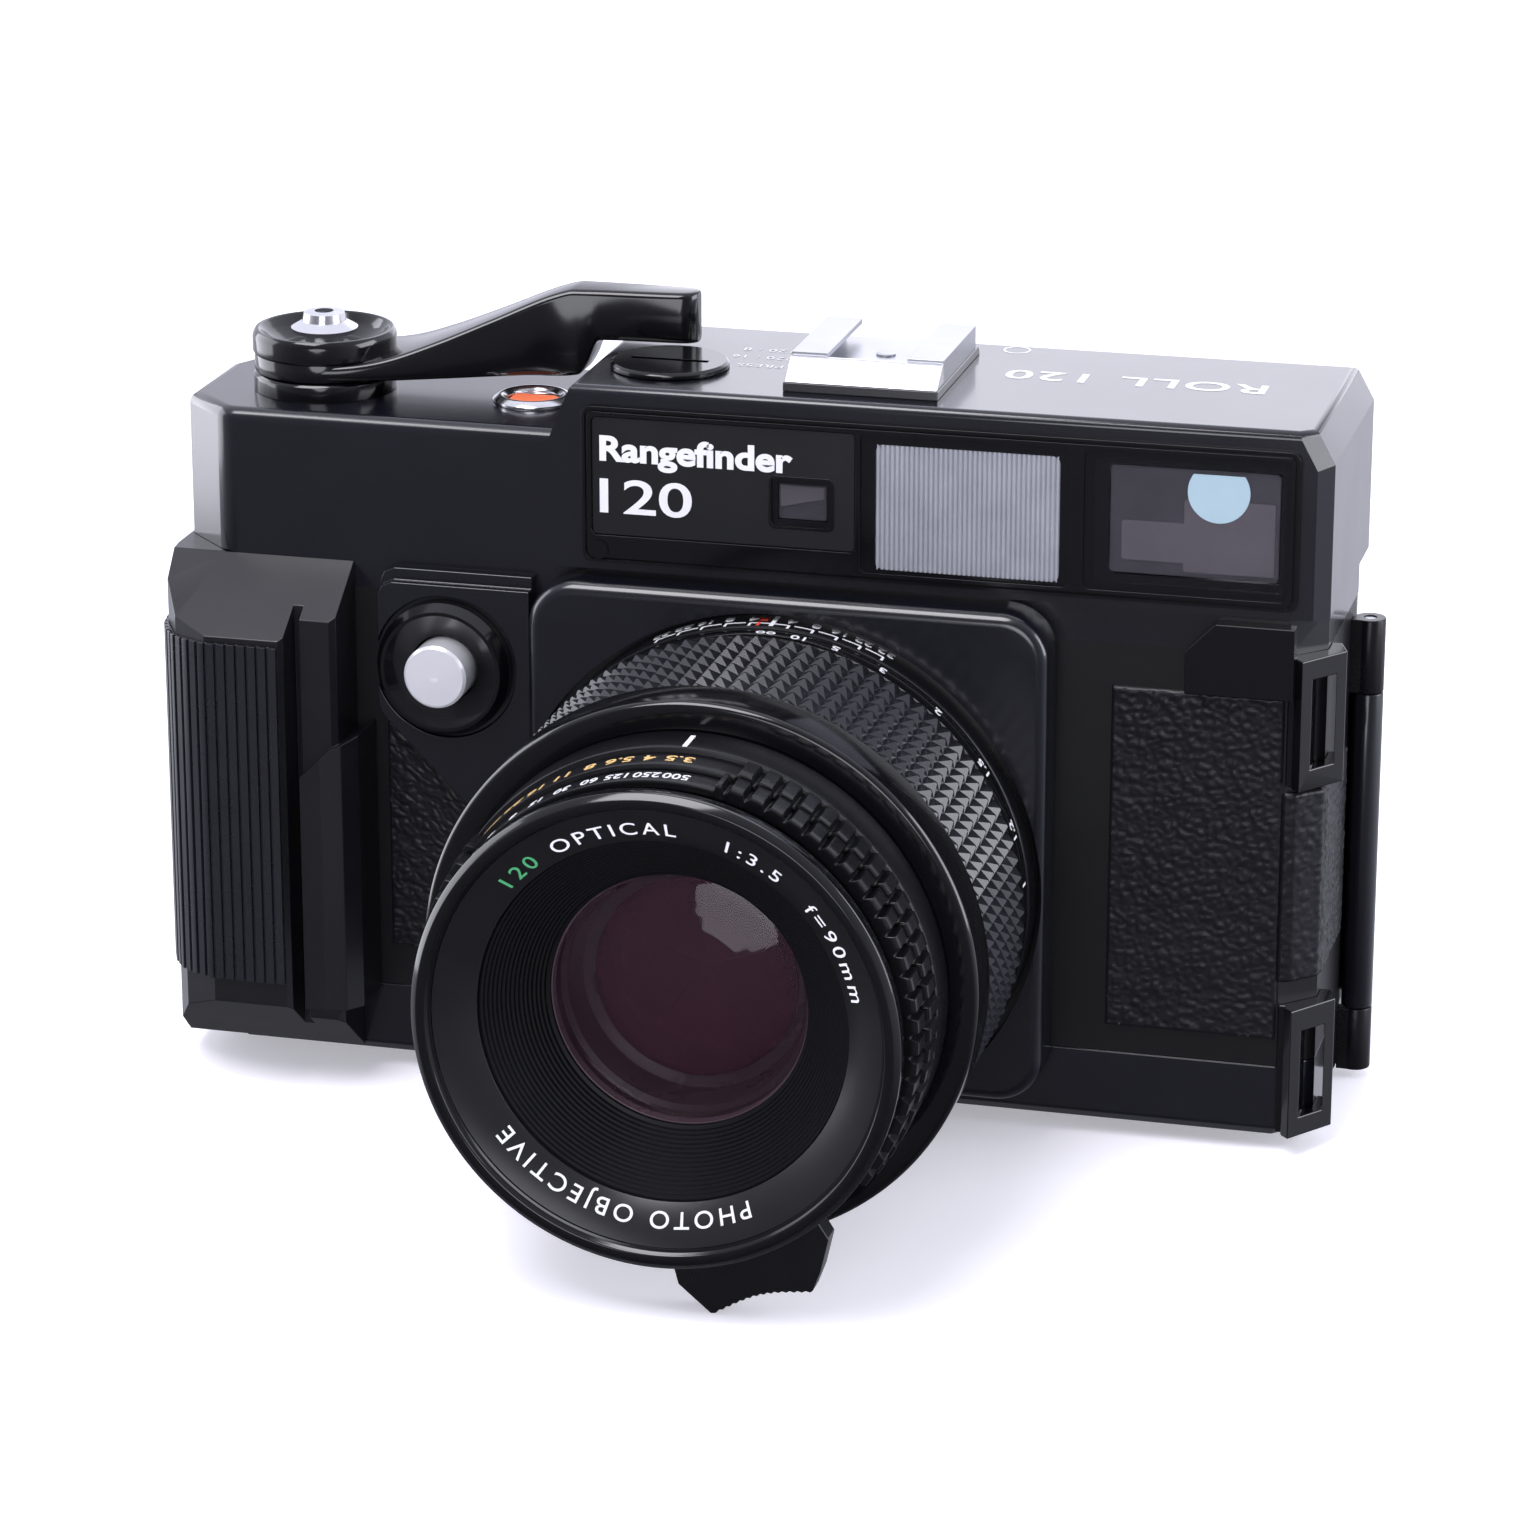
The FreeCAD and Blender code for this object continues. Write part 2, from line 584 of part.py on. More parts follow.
# ------------------------------------------------------------------ lens
def make_lens():
    keep(lens_part("depth_ring", [(39.3, -29.3), (S.depth_radius, -29.3),
                                  (S.depth_radius, -22.1), (39.3, -22.1)]).body, "depth_ring")
    keep(lens_part("focus_ring", [
        (39.1, -73), (44.2, -73), (S.gloss_radius, -72.4), (S.gloss_radius, -64), (S.grip_seat, -64), (S.grip_seat, -34),
        (S.scale_radius, -34), (S.scale_radius, -29.6), (39.1, -29.6)]).body, "focus_ring")
    keep(lens_part("focus_grip", [(S.grip_seat, -64), (S.grip_radius, -64),
                                  (S.grip_radius, -34), (S.grip_seat, -34)]).body,
         "focus_grip")
    keep(lens_part("lens_barrel", [
        (S.tube_bore, -92.8), (S.sleeve_radius, -92.8), (S.sleeve_radius, -81.2),
        (S.barrel_radius, -81.2), (S.barrel_radius, -73.3), (S.tube_radius, -73.3),
        (S.tube_radius, -31), (S.tube_bore, -31)]).body, "lens_barrel")
    keep(lens_part("aperture_ring", [
        (S.sleeve_radius + 0.1, -87.0), (S.aperture_radius, -87.0),
        (S.aperture_radius, -81.4), (S.sleeve_radius + 0.1, -81.4)]).body, "aperture_ring")
    make_speed_ring()
    keep(lens_part("front_ring", [
        (S.filter_bore, -99.4), (S.front_radius, -99.4), (S.front_radius, -96.2),
        (37.4, -96.2), (37.4, -92.8), (32.0, -92.8), (32.0, -94.9), (S.name_rim, -97.1),
        (S.name_rim, -97.9), (S.filter_bore, -97.9)]).body, "front_ring")
    keep(lens_part("name_ring", [(S.name_bore, -93.9), (S.name_rim, -97.7),
                                 (S.name_rim, -97.1), (32.0, -94.9), (32.0, -92.8),
                                 (S.name_bore, -92.8)]).body, "name_ring")
    make_ridged_cone()
    make_glass()
    make_shutter()


def make_speed_ring():
    piece = lens_part("speed_ring", [
        (S.sleeve_radius + 0.1, -92.5), (S.speed_radius, -92.5),
        (S.speed_radius, -87.3), (S.sleeve_radius + 0.1, -87.3)])

    def spot(radius, degrees):
        turn = math.radians(degrees)
        return (radius * math.sin(turn), -radius * math.cos(turn))
    # a finger tab near the bottom, hollowed between its two horns
    inner = S.speed_radius - 0.5
    piece.pad("XZ", [spot(inner, 1), spot(S.speed_radius + 4, 3), spot(S.speed_radius + 9, 9),
                     spot(S.speed_radius + 9, 30), spot(S.speed_radius + 2.5, 38),
                     spot(inner, 38)], -92.0, -87.8)
    hollow = S.speed_radius + 21
    turn = math.radians(19.5)
    piece.pocket("XZ", [("circle", hollow * math.sin(turn), hollow * -math.cos(turn), 13.6)],
                 -92.0, -87.8)
    keep(piece.body, "speed_ring")


def make_ridged_cone():
    """Anti-glare rings that step down to the front glass."""
    steps, depth, fall = 8, 1.15, 1.05
    profile = []
    for i in range(steps):
        radius, place = S.name_bore - 0.1 - i * fall, -93.4 + i * depth
        profile += [(radius, place), (radius, place + depth)]
    last = S.name_bore - 0.1 - (steps - 1) * fall
    end = -93.4 + steps * depth
    profile += [(last, end + 1.5), (S.name_bore - 0.1, end + 1.5)]
    keep(lens_part("ridged_cone", profile).body, "ridged_cone")


def lens_element(name, radius, front, edge_front, edge_rear, rear):
    """A glass with its outer faces as flats between three bevelled zones."""
    profile = [(0, front), (radius * 0.5, front + (edge_front - front) * 0.22),
               (radius, edge_front), (radius, edge_rear),
               (radius * 0.5, rear + (edge_rear - rear) * 0.22), (0, rear)]
    return lens_part(name, profile).body


def make_glass():
    keep(lens_element("front_glass", S.glass_radius, -84.5, -81.5, -79.5, -78.0),
         "front_glass")
    middle = lens_element("middle_glass", size(16.5), -75.0, -73.5, -71.8, -72.6)
    rear = lens_element("rear_glass", size(17.0), -46.0, -45.0, -42.0, -40.0)
    keep(group("inner_glasses", [middle, rear]), "inner_glasses")
    front_cell = lens_part("front_cell", [
        (S.glass_radius, -82.5), (S.tube_bore, -82.5), (S.tube_bore, -71),
        (16.5, -71), (16.5, -73.4), (18.5, -73.4), (18.5, -79.1),
        (S.glass_radius, -79.1)]).body
    rear_cell = lens_part("rear_cell", [
        (17.0, -57), (S.tube_bore, -57), (S.tube_bore, -54), (21, -54), (21, -34),
        (17.0, -34)]).body
    keep(group("glass_cells", [front_cell, rear_cell]), "glass_cells")


def make_shutter():
    """The leaf shutter's case, its closed leaves and the iris blades behind them."""
    keep(lens_part("shutter_case", [
        (13.4, -69.5), (S.tube_bore, -69.5), (S.tube_bore, -58.5), (13.4, -58.5),
        (13.4, -60.0), (26, -60.0), (26, -68.0), (13.4, -68.0)]).body, "shutter_case")
    leaves = []
    for i in range(5):
        piece = Piece("shutter_leaf_%d" % i, (0, 0, S.lens_height))
        start, end = math.radians(72 * i + 0.6), math.radians(72 * (i + 1) - 0.6)
        centre = math.radians(72 * i + 36)
        inner = (0.12 * math.sin(centre), 0.12 * math.cos(centre))
        rim = [(17 * math.sin(a), 17 * math.cos(a))
               for a in (start, start + 0.4, end - 0.4, end)]
        piece.pad("XZ", [inner] + rim, -67.6, -67.3)
        leaves.append(piece.body)
    keep(group("shutter_leaves", leaves), "shutter_leaves")
    for i in range(IRIS_COUNT):
        make_iris_blade(i)


IRIS_COUNT = 5
IRIS_PIVOT = 17.6


def make_iris_blade(i):
    """A curved blade that lies outside the opening and swings in about its pivot."""
    name = "iris_blade_%d" % (i + 1)
    piece = Piece(name, (0, 0, S.lens_height))
    base = 2 * math.pi * i / IRIS_COUNT
    front = -66.4 + 1.2 * i
    outer, inner = [], []
    for step in range(7):
        turn = base + math.radians(14 * step)
        outer.append((21 * math.sin(turn), 21 * math.cos(turn)))
        inner.append((14.2 * math.sin(turn), 14.2 * math.cos(turn)))
    piece.pad("XZ", outer + inner[::-1], front, front + 0.4)
    pivot = (IRIS_PIVOT * math.sin(base + 0.06), IRIS_PIVOT * math.cos(base + 0.06))
    piece.pad("XZ", [("circle", *pivot, 0.7)], front - 0.3, front + 0.7)
    keep(piece.body, name)


# ------------------------------------------------------------------ top controls
def make_lever():
    """The film advance: shaft, long lever and its polished cap."""
    hub = (S.spool_left, 0, 0)
    keep(turned("lever_shaft", "Z", hub, [
        (0, 76), (3.2, 76), (3.2, 96), (6, 96), (6, 118.4), (3.4, 118.4), (3.4, 98),
        (0, 98)]).body, "lever_shaft")
    keep(turned("lever_collar", "Z", hub, [
        (6.1, S.deck_height), (12.0, S.deck_height), (12.0, 114.6), (11.4, 115.2),
        (6.1, 115.2)]).body, "lever_collar")
    keep(turned("lever_cap", "Z", hub, [
        (3.4, 118.5), (11.6, 118.5), (12.1, 119.0), (12.1, 121.6), (11.5, 122.4),
        (10.6, 122.2), (7.0, 119.1), (3.4, 119.1)]).body, "lever_cap")
    base = S.lever_base
    plan = Piece("lever_plan")
    plan.pad("XY", [(-82, -11.7), (-74, -9.5), (-62, -4.5), (-50, 1), (-42, 3.6), (-24, 5.4),
                    (-21.2, 7.6), (-21.2, 11), (-25, 12), (-45, 12), (-62, 11.2),
                    (-82, 11.7), (-84, 11.8), (-84, -11.8)], base, 131)
    plan.soften("Fillet", 1.5, lambda e: runs(e, "Z") and middle(e).x > -30)
    side = Piece("lever_side")
    side.pad("XZ", [(-85, base), (-41, base), (-37.6, 121.4), (-20, 121.4), (-20, 127.6),
                    (-23.4, 130.2), (-43, 130.2), (-55, 125.4), (-66, 121.0),
                    (-73, 118.9), (-78, 118.4), (-85, 118.4)], -15, 15)
    arm = doc.addObject("Part::Common", "lever_arm_blank")
    arm.Base, arm.Tool = plan.body, side.body
    disc = rod("lever_disc", "Z", S.lever_radius, (base, 118.4), (S.spool_left, 0))
    bore = rod("lever_bore", "Z", 6.0, (base, 118.4), (S.spool_left, 0))
    room = rod("lever_room", "Z", 12.3, (118.4, 132), (S.spool_left, 0))
    keep(cut("advance_lever", joined("lever_blank", [arm, disc]), bore, room),
         "advance_lever")
    keep(turned("shutter_button", "Z", hub, [
        (0, 101.5), (3.3, 101.5), (3.3, 121.6), (5.4, 121.6), (5.6, 122.3), (3.7, 123.4),
        (3.4, 124.8), (1.6, 125.0), (1.6, 119.5), (0, 119.5)]).body, "shutter_button")


def make_front_release():
    spot = (S.button_x, 0, S.button_z)
    keep(turned("release_lock_ring", "Y", spot, [
        (5.75, -19.5), (7.8, -19.5), (7.8, -21.4), (11.4, -21.4), (11.4, -23.2),
        (10.3, -24.9), (9.7, -24.9), (5.75, -22.6)]).body, "release_lock_ring")
    keep(turned("front_release_button", "Y", spot, [
        (0, -28.2), (4.9, -28.0), (5.35, -27.5), (5.35, -20.5), (0, -20.5)]).body,
        "front_release_button")


def make_dials():
    dial = turned("film_dial_blank", "Z", (S.dial_x, S.dial_y, 0), [
        (0, 117), (3, 117), (3, 120.9), (S.dial_radius, 120.9), (S.dial_radius, 121.5),
        (S.dial_radius - 0.5, 121.9), (0, 121.9)]).body
    slot = block("dial_slot", (S.dial_x - 6.5, S.dial_x + 6.5),
                 (S.dial_y - 0.7, S.dial_y + 0.7), (121.3, 123))
    keep(cut("film_selector_dial", dial, slot), "film_selector_dial")
    spot = (S.counter_x, S.counter_y, 0)
    ring = turned("counter_ring", "Z", spot, [
        (4.7, 112), (6.8, 112), (6.8, 112.6), (5.6, 113.4), (4.7, 113.1)]).body
    pane = rod("counter_pane", "Z", 4.7, (111.0, 112.6), spot[:2])
    keep(group("counter_window", [ring, pane]), "counter_window")
    keep(turned("counter_disc", "Z", spot, [
        (0, 106), (1.2, 106), (1.2, 108.2), (7.6, 108.2), (7.6, 108.9), (0, 108.9)]).body,
        "counter_disc")


def make_hot_shoe():
    """Flash shoe: a black riser, a plated shoe with two turned-in rails, one contact."""
    top, centre = S.housing_height, S.shoe_x
    floor = top + 1.5
    riser = Piece("shoe_riser")
    riser.pad("YZ", [(-16.6, top), (-16.4, floor), (14.5, floor), (15.5, top)],
              centre - 12.8, centre + 12.8)
    piece = Piece("shoe_plate")
    left, right = centre - 12.6, centre + 12.6
    piece.pad("YZ", [(-16.3, floor), (-12.2, floor + 3.4), (-11.4, floor + 3.4),
                     (-11.4, floor)], left, right)
    piece.pad("XZ", [(left, floor), (right, floor), (right, floor + 3.9),
                     (right - 6, floor + 3.9), (right - 6, floor + 3.0),
                     (right - 3.3, floor + 3.0), (right - 3.3, floor + 0.8),
                     (left + 3.3, floor + 0.8), (left + 3.3, floor + 3.0),
                     (left + 6, floor + 3.0), (left + 6, floor + 3.9),
                     (left, floor + 3.9)], -11.4, 13.0)
    contact = rod("shoe_contact", "Z", 1.6, (floor + 0.8, floor + 1.1), (centre, 2.0))
    keep(group("hot_shoe", [riser.body, piece.body, contact]), "hot_shoe")


# ------------------------------------------------------------------ finder
def make_finder():
    x, z = FINDER_AXIS
    rear = S.back_plane
    spot = (x, 0, z)
    keep(turned("eyepiece_frame", "Y", spot, [
        (7.0, rear - 2.0), (7.4, rear - 2.0), (7.4, rear), (9.5, rear), (9.5, rear + 2.6),
        (8.6, rear + 3.4), (7.0, rear + 3.4)]).body, "eyepiece_frame")
    keep(rod("eyepiece_glass", "Y", 7.0, (rear - 1.0, rear + 1.6), (x, z)), "eyepiece_glass")
    keep(block("beam_splitter", (x - 9, x + 9), (-8, 8), (z - 8, z + 8)), "beam_splitter")
    mirror = block("rangefinder_mirror", (-4, 9), (-4.4, -3.0), (98, 109))
    arm = block("rangefinder_lever", (-5, 24), (-4.5, -1.5), (95, 98))
    pivot = rod("rangefinder_pivot", "Z", 2.2, (94, 99), (24, -3))
    keep(joined("arm_and_mirror", [mirror, arm, pivot]), "rangefinder_arm")


# ------------------------------------------------------------------ film transport
def make_spool(name, x):
    core, flange = S.spool_core, S.spool_flange
    low, high = S.chamber_low + 0.5, S.chamber_high - 0.5
    keep(turned(name, "Z", (x, 0, 0), [
        (3.4, low), (flange, low), (flange, low + 1), (core, low + 1), (core, high - 1),
        (flange, high - 1), (flange, high), (3.4, high)]).body, name)


def make_knob(name, x):
    """A spool knob in the base; its stud holds the spool's foot until it is pulled."""
    keep(turned(name, "Z", (x, 0, 0), [
        (0, 0.3), (8.4, 0.3), (9.0, 0.9), (9.0, 5.0), (3.2, 5.0), (3.2, 19.0), (0, 19.0)]).body,
        name)


def make_transport():
    make_spool("takeup_spool", S.spool_left)
    make_spool("supply_spool", S.spool_right)
    make_knob("takeup_knob", S.spool_left)
    make_knob("supply_knob", S.spool_right)
    rollers = [rod("film_roller_%d" % i, "Z", 0.75, (18, 64), (x, S.rear_plane - 0.8))
               for i, x in enumerate((-53.0, 50.0))]
    keep(group("film_rollers", rollers), "film_rollers")


def make_fasteners():
    keep(turned("tripod_bush", "Z", (0, 0, 0), [
        (S.socket_radius, 0), (7.0, 0), (7.0, 2.2), (9.0, 2.2), (9.0, 9.0), (0, 9.0),
        (0, S.socket_depth), (S.socket_radius, S.socket_depth)]).body, "tripod_bush")
    screws = []
    for i, (x, y) in enumerate(BASE_SCREWS):
        screws.append(rod("base_screw_%d" % i, "Z", 1.5, (0.1, 2.2), (x, y)))
    screws.append(rod("bezel_screw", "Y", 1.6, (S.housing_front - 1.2,
                                                S.housing_front - 0.9), (-30.2, 93.6)))
    keep(group("casing_screws", screws), "casing_screws")


make_body_shell()
make_film_gate()
make_bottom_cover()
make_top_cover()
make_window_bezel()
make_windows()
make_standard()
make_release_plate()
make_grip()
make_grip_pad()
make_leather()
make_lugs()
make_door()
make_lens()
make_lever()
make_front_release()
make_dials()
make_hot_shoe()
make_finder()
make_transport()
make_fasteners()

doc.recompute()
faults = [thing.Label for thing in doc.Objects
          if {"Invalid", "Error"} & set(thing.State)]
faults += [piece.Label for piece in PIECES if piece.Shape.isNull() or not piece.Shape.isValid()]
if faults:
    raise RuntimeError("failed: " + ", ".join(faults))
os.makedirs("parts", exist_ok=True)
for piece in PIECES:
    piece.Shape.exportStep("parts/%s.step" % piece.Label)
    box = piece.Shape.BoundBox
    print("%-22s %d solid  %9.1f mm3  x %.1f..%.1f  y %.1f..%.1f  z %.1f..%.1f" % (
        piece.Label, len(piece.Shape.Solids), piece.Shape.Volume, box.XMin, box.XMax,
        box.YMin, box.YMax, box.ZMin, box.ZMax))
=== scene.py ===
import math

import bmesh
import bpy
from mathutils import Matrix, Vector, noise


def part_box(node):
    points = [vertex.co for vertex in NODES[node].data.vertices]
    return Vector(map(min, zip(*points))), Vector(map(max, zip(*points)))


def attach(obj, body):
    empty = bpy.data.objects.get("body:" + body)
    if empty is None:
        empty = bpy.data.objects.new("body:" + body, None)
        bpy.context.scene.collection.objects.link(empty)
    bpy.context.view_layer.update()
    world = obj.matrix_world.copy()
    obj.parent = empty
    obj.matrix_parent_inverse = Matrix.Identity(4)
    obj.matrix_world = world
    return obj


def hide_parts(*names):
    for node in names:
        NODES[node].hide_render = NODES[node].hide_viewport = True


# A roll-film rangefinder camera in a white studio. X runs to the finder end, Y to the back and
# Z up. Lengths are in millimetres until they are multiplied by MM; the lamps and the camera
# that takes the picture are placed in metres.
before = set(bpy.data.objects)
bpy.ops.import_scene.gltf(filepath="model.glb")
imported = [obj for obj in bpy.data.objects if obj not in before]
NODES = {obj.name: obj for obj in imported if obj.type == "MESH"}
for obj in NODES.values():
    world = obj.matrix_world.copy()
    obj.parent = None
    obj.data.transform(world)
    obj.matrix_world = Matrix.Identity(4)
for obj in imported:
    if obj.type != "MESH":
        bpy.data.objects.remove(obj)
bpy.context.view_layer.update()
MM = 0.001
HOUSING_TOP = 120.7


def span(node):
    """The lowest and highest corner of a CAD node, in millimetres."""
    low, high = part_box(node)
    return Vector(low) / MM, Vector(high) / MM


# ---------------------------------------------------------------- materials
DRIFT, HANDLED = 140.0, 60.0          # noise cells per metre, in the colour and in the gloss
COAT_ROUGHNESS, LEAST_ROUGHNESS = 0.12, 0.02
RELIEF = 0.6                          # how strongly the grain shows
MIX_A, MIX_B, MIX_RESULT = 6, 7, 2    # the colour sockets of a mix node


def node_of(tree, kind, **values):
    """A new shader node with values on its sockets; _ stands for a space in their names."""
    node = tree.nodes.new(kind)
    for key, value in values.items():
        node.inputs[key.replace("_", " ")].default_value = value
    return node


def material(name, colour, rough, metal=0.0, coat=0.0, grain=0.25, depth=0.01, mottle=0.25,
             stretch=(1, 1, 1), wear=0.05, shine=0.5, glow=0.0, clear=1.0):
    """A finish with mottling and uneven gloss; grain and depth size its relief, in mm."""
    made = bpy.data.materials.new(name)
    made.use_nodes = True
    tree = made.node_tree
    link = tree.links.new
    shader = tree.nodes["Principled BSDF"]
    shader.inputs["Metallic"].default_value = metal
    shader.inputs["Coat Weight"].default_value = coat
    shader.inputs["Coat Roughness"].default_value = COAT_ROUGHNESS
    shader.inputs["Specular IOR Level"].default_value = shine
    shader.inputs["Alpha"].default_value = clear
    place = tree.nodes.new("ShaderNodeTexCoord").outputs["Object"]
    # colour drifts a little over a few millimetres
    drift = node_of(tree, "ShaderNodeTexNoise", Scale=DRIFT, Detail=4.0)
    tint = tree.nodes.new("ShaderNodeMix")
    tint.data_type = "RGBA"
    tint.inputs[MIX_A].default_value = (*[c * (1 - mottle) for c in colour], 1)
    tint.inputs[MIX_B].default_value = (*[min(1, c * (1 + mottle)) for c in colour], 1)
    link(place, drift.inputs["Vector"])
    link(drift.outputs["Fac"], tint.inputs["Factor"])
    link(tint.outputs[MIX_RESULT], shader.inputs["Base Color"])
    # gloss varies as on a handled surface
    handled = node_of(tree, "ShaderNodeTexNoise", Scale=HANDLED, Detail=6.0, Roughness=0.65)
    gloss = node_of(tree, "ShaderNodeMapRange", To_Min=max(LEAST_ROUGHNESS, rough - wear),
                    To_Max=min(1.0, rough + wear))
    link(place, handled.inputs["Vector"])
    link(handled.outputs["Fac"], gloss.inputs["Value"])
    link(gloss.outputs["Result"], shader.inputs["Roughness"])
    if depth:
        # the surface's own grain
        scaled = node_of(tree, "ShaderNodeMapping", Scale=stretch)
        fine = node_of(tree, "ShaderNodeTexNoise", Scale=1 / (grain * MM), Detail=3.0)
        bump = node_of(tree, "ShaderNodeBump", Strength=RELIEF, Distance=depth * MM)
        link(place, scaled.inputs["Vector"])
        link(scaled.outputs["Vector"], fine.inputs["Vector"])
        link(fine.outputs["Fac"], bump.inputs["Height"])
        link(bump.outputs["Normal"], shader.inputs["Normal"])
    # painted light: with glow the finish shines with its own colour, brighter than the lamps make
    # it
    if glow:
        shader.inputs["Emission Color"].default_value = (*colour, 1)
        shader.inputs["Emission Strength"].default_value = glow
    return made


SATIN = material("satin_cover", (0.0045, 0.0045, 0.0085), 0.24, coat=0.6, grain=0.16,
                 depth=0.003)
CAST = material("cast_enamel", (0.0045, 0.0045, 0.0055), 0.36, grain=0.2, depth=0.006,
                shine=0.4)
GLOSS = material("gloss_enamel", (0.0030, 0.0030, 0.0040), 0.12, coat=0.3, grain=0.5,
                 depth=0.002, wear=0.04, shine=0.45)
PANEL = material("name_panel", (0.0065, 0.0065, 0.0080), 0.34, grain=0.2, depth=0.003)
GRIP = material("grip_plastic", (0.0060, 0.0060, 0.0085), 0.30, coat=0.2, grain=0.12,
                depth=0.006)
RUBBER = material("black_rubber", (0.0100, 0.0100, 0.0145), 0.28, coat=0.35, grain=0.10,
                  depth=0.005)
HIDE = material("leatherette_skin", (0.0065, 0.0065, 0.0090), 0.36, grain=0.22, depth=0.02,
                wear=0.10, shine=0.32)
ANODISED = material("black_anodised", (0.0060, 0.0060, 0.0078), 0.28, metal=0.25, grain=0.10,
                    depth=0.003, stretch=(0.25, 3, 0.25))
RINGS = material("name_ring_enamel", (0.0075, 0.0073, 0.0085), 0.30, grain=0.2, depth=0.002)
MATT = material("matt_black", (0.0030, 0.0030, 0.0045), 0.45, grain=0.15, depth=0.006,
                shine=0.25)
# black lens cells with a lighter mauve tone: painted reflection of the coatings inside the lens
BAFFLE_PAINTED_REFLECTION = material("lens_cell_black_painted_reflection", (0.075, 0.045, 0.060), 0.28, grain=0.3, depth=0.003)
# black shutter leaves with a reddish tint: painted reflection of the lens coatings
LEAF_PAINTED_REFLECTION = material("shutter_leaf_black_painted_reflection", (0.030, 0.010, 0.016), 0.35, grain=0.3, depth=0.003,
                stretch=(3, 1, 0.3))
CHROME = material("satin_chrome", (0.80, 0.80, 0.83), 0.20, metal=1.0, grain=0.2,
                  depth=0.002, mottle=0.04)
STEEL = material("plain_steel", (0.50, 0.51, 0.54), 0.32, metal=1.0, grain=0.15,
                 depth=0.004, mottle=0.08)
# white print with a faint painted glow that brightens it
WHITE_GLOWING = material("white_filling_painted_glow", (0.74, 0.74, 0.77), 0.5, grain=0.1, depth=0.004,
                 mottle=0.03, glow=0.06)
# green print with a painted glow that brightens it
GREEN_GLOWING = material("green_filling_painted_glow", (0.05, 0.34, 0.13), 0.5, grain=0.1, depth=0.004,
                 mottle=0.05, glow=0.10)
GOLD = material("gold_filling", (0.75, 0.50, 0.20), 0.5, grain=0.1, depth=0.004, mottle=0.05)
RED = material("red_filling", (0.75, 0.06, 0.04), 0.5, grain=0.1, depth=0.004, mottle=0.05)
# orange card with a painted glow that brightens it
ORANGE_GLOWING = material("orange_mark_painted_glow", (0.90, 0.20, 0.08), 0.5, grain=0.3, depth=0.004, mottle=0.1,
                  glow=0.15)
# painted reflection: a glowing pale blue disc for the bright reflection seen in the finder
PAINTED_EYE_REFLECTION = material("painted_eye_reflection", (0.50, 0.68, 0.80), 0.4, grain=0.3, depth=0.002, mottle=0.02,
                glow=0.45)
# painted light: a flat grey sheet for the dim light seen inside the finder
PAINTED_FINDER_LIGHT = material("finder_inside_painted_light", (0.085, 0.078, 0.095), 0.30, coat=0.2, grain=1.0,
                 depth=0.003)
# painted reflection: lighter grey sheets for the light reflected inside the finder
PAINTED_FINDER_REFLECTION = material("finder_painted_reflection", (0.17, 0.155, 0.18), 0.25, coat=0.2, grain=1.0,
                depth=0.003, mottle=0.15)
RIBBED = material("ribbed_diffuser", (0.30, 0.31, 0.345), 0.14, coat=0.5, grain=0.8,
                  depth=0.003, mottle=0.2)
# glass is drawn as a dark see-through skin, without relief; the coated lens glasses carry painted
# magenta reflections in their colour
PANE = material("window_pane", (0.004, 0.004, 0.006), 0.06, depth=0, mottle=0.03, wear=0.02,
                clear=0.18)
# a faint magenta tint: painted reflection of the front glass's coating
FRONT_GLASS_PAINTED_REFLECTION = material("coated_front_glass_painted_reflection", (0.022, 0.008, 0.014), 0.04, depth=0, mottle=0.1,
                       wear=0.01, shine=0.8, clear=0.30)
# a pink, lighter tint: painted reflection of the inner glasses' coatings
INNER_GLASS_PAINTED_REFLECTION = material("coated_inner_glass_painted_reflection", (0.15, 0.050, 0.075), 0.08, depth=0, mottle=0.2,
                       wear=0.02, shine=0.7, clear=0.45)
CLEAR = material("clear_glass", (0.020, 0.022, 0.026), 0.05, depth=0, mottle=0.05, wear=0.02,
                 shine=0.6, clear=0.30)
PEARL = material("front_button_satin", (0.74, 0.74, 0.78), 0.22, metal=0.35, grain=0.2,
                 depth=0.002, mottle=0.04)

# the CAD nodes that are shown as they are; the others are replaced by the pieces made below
CAD_LOOKS = {
    SATIN: ["top_cover", "bottom_cover", "back_door", "lens_standard", "release_plate"],
    CAST: ["body_shell", "film_gate"],
    GLOSS: ["lever_collar", "film_selector_dial", "eyepiece_frame", "release_lock_ring",
            "door_latch", "casing_screws", "strap_lugs"],
    GRIP: ["grip", "takeup_spool", "supply_spool", "counter_disc", "rangefinder_arm"],
    ANODISED: ["shutter_case", "hinge_knuckles"],
    LEAF_PAINTED_REFLECTION: ["shutter_leaves"],
    PEARL: ["front_release_button"],
    CHROME: ["shutter_button"],
    STEEL: ["hinge_pin", "tripod_bush", "lever_shaft", "pressure_springs", "pressure_plate",
            "film_rollers", "takeup_knob", "supply_knob"]
           + ["iris_blade_%d" % i for i in range(1, 6)],
    CLEAR: ["eyepiece_glass", "beam_splitter"],
}
for look, names in CAD_LOOKS.items():
    for name in names:
        NODES[name].data.materials.clear()
        NODES[name].data.materials.append(look)


# ---------------------------------------------------------------- making pieces
BEVEL_ANGLE = 34                      # degrees; edges sharper than this are rounded
CAD_WELD, WELD = 1e-6, 1e-7           # metres; points closer than this become one
ON_AXIS = 1e-6                        # millimetres


def show(thing):
    bpy.context.scene.collection.objects.link(thing)


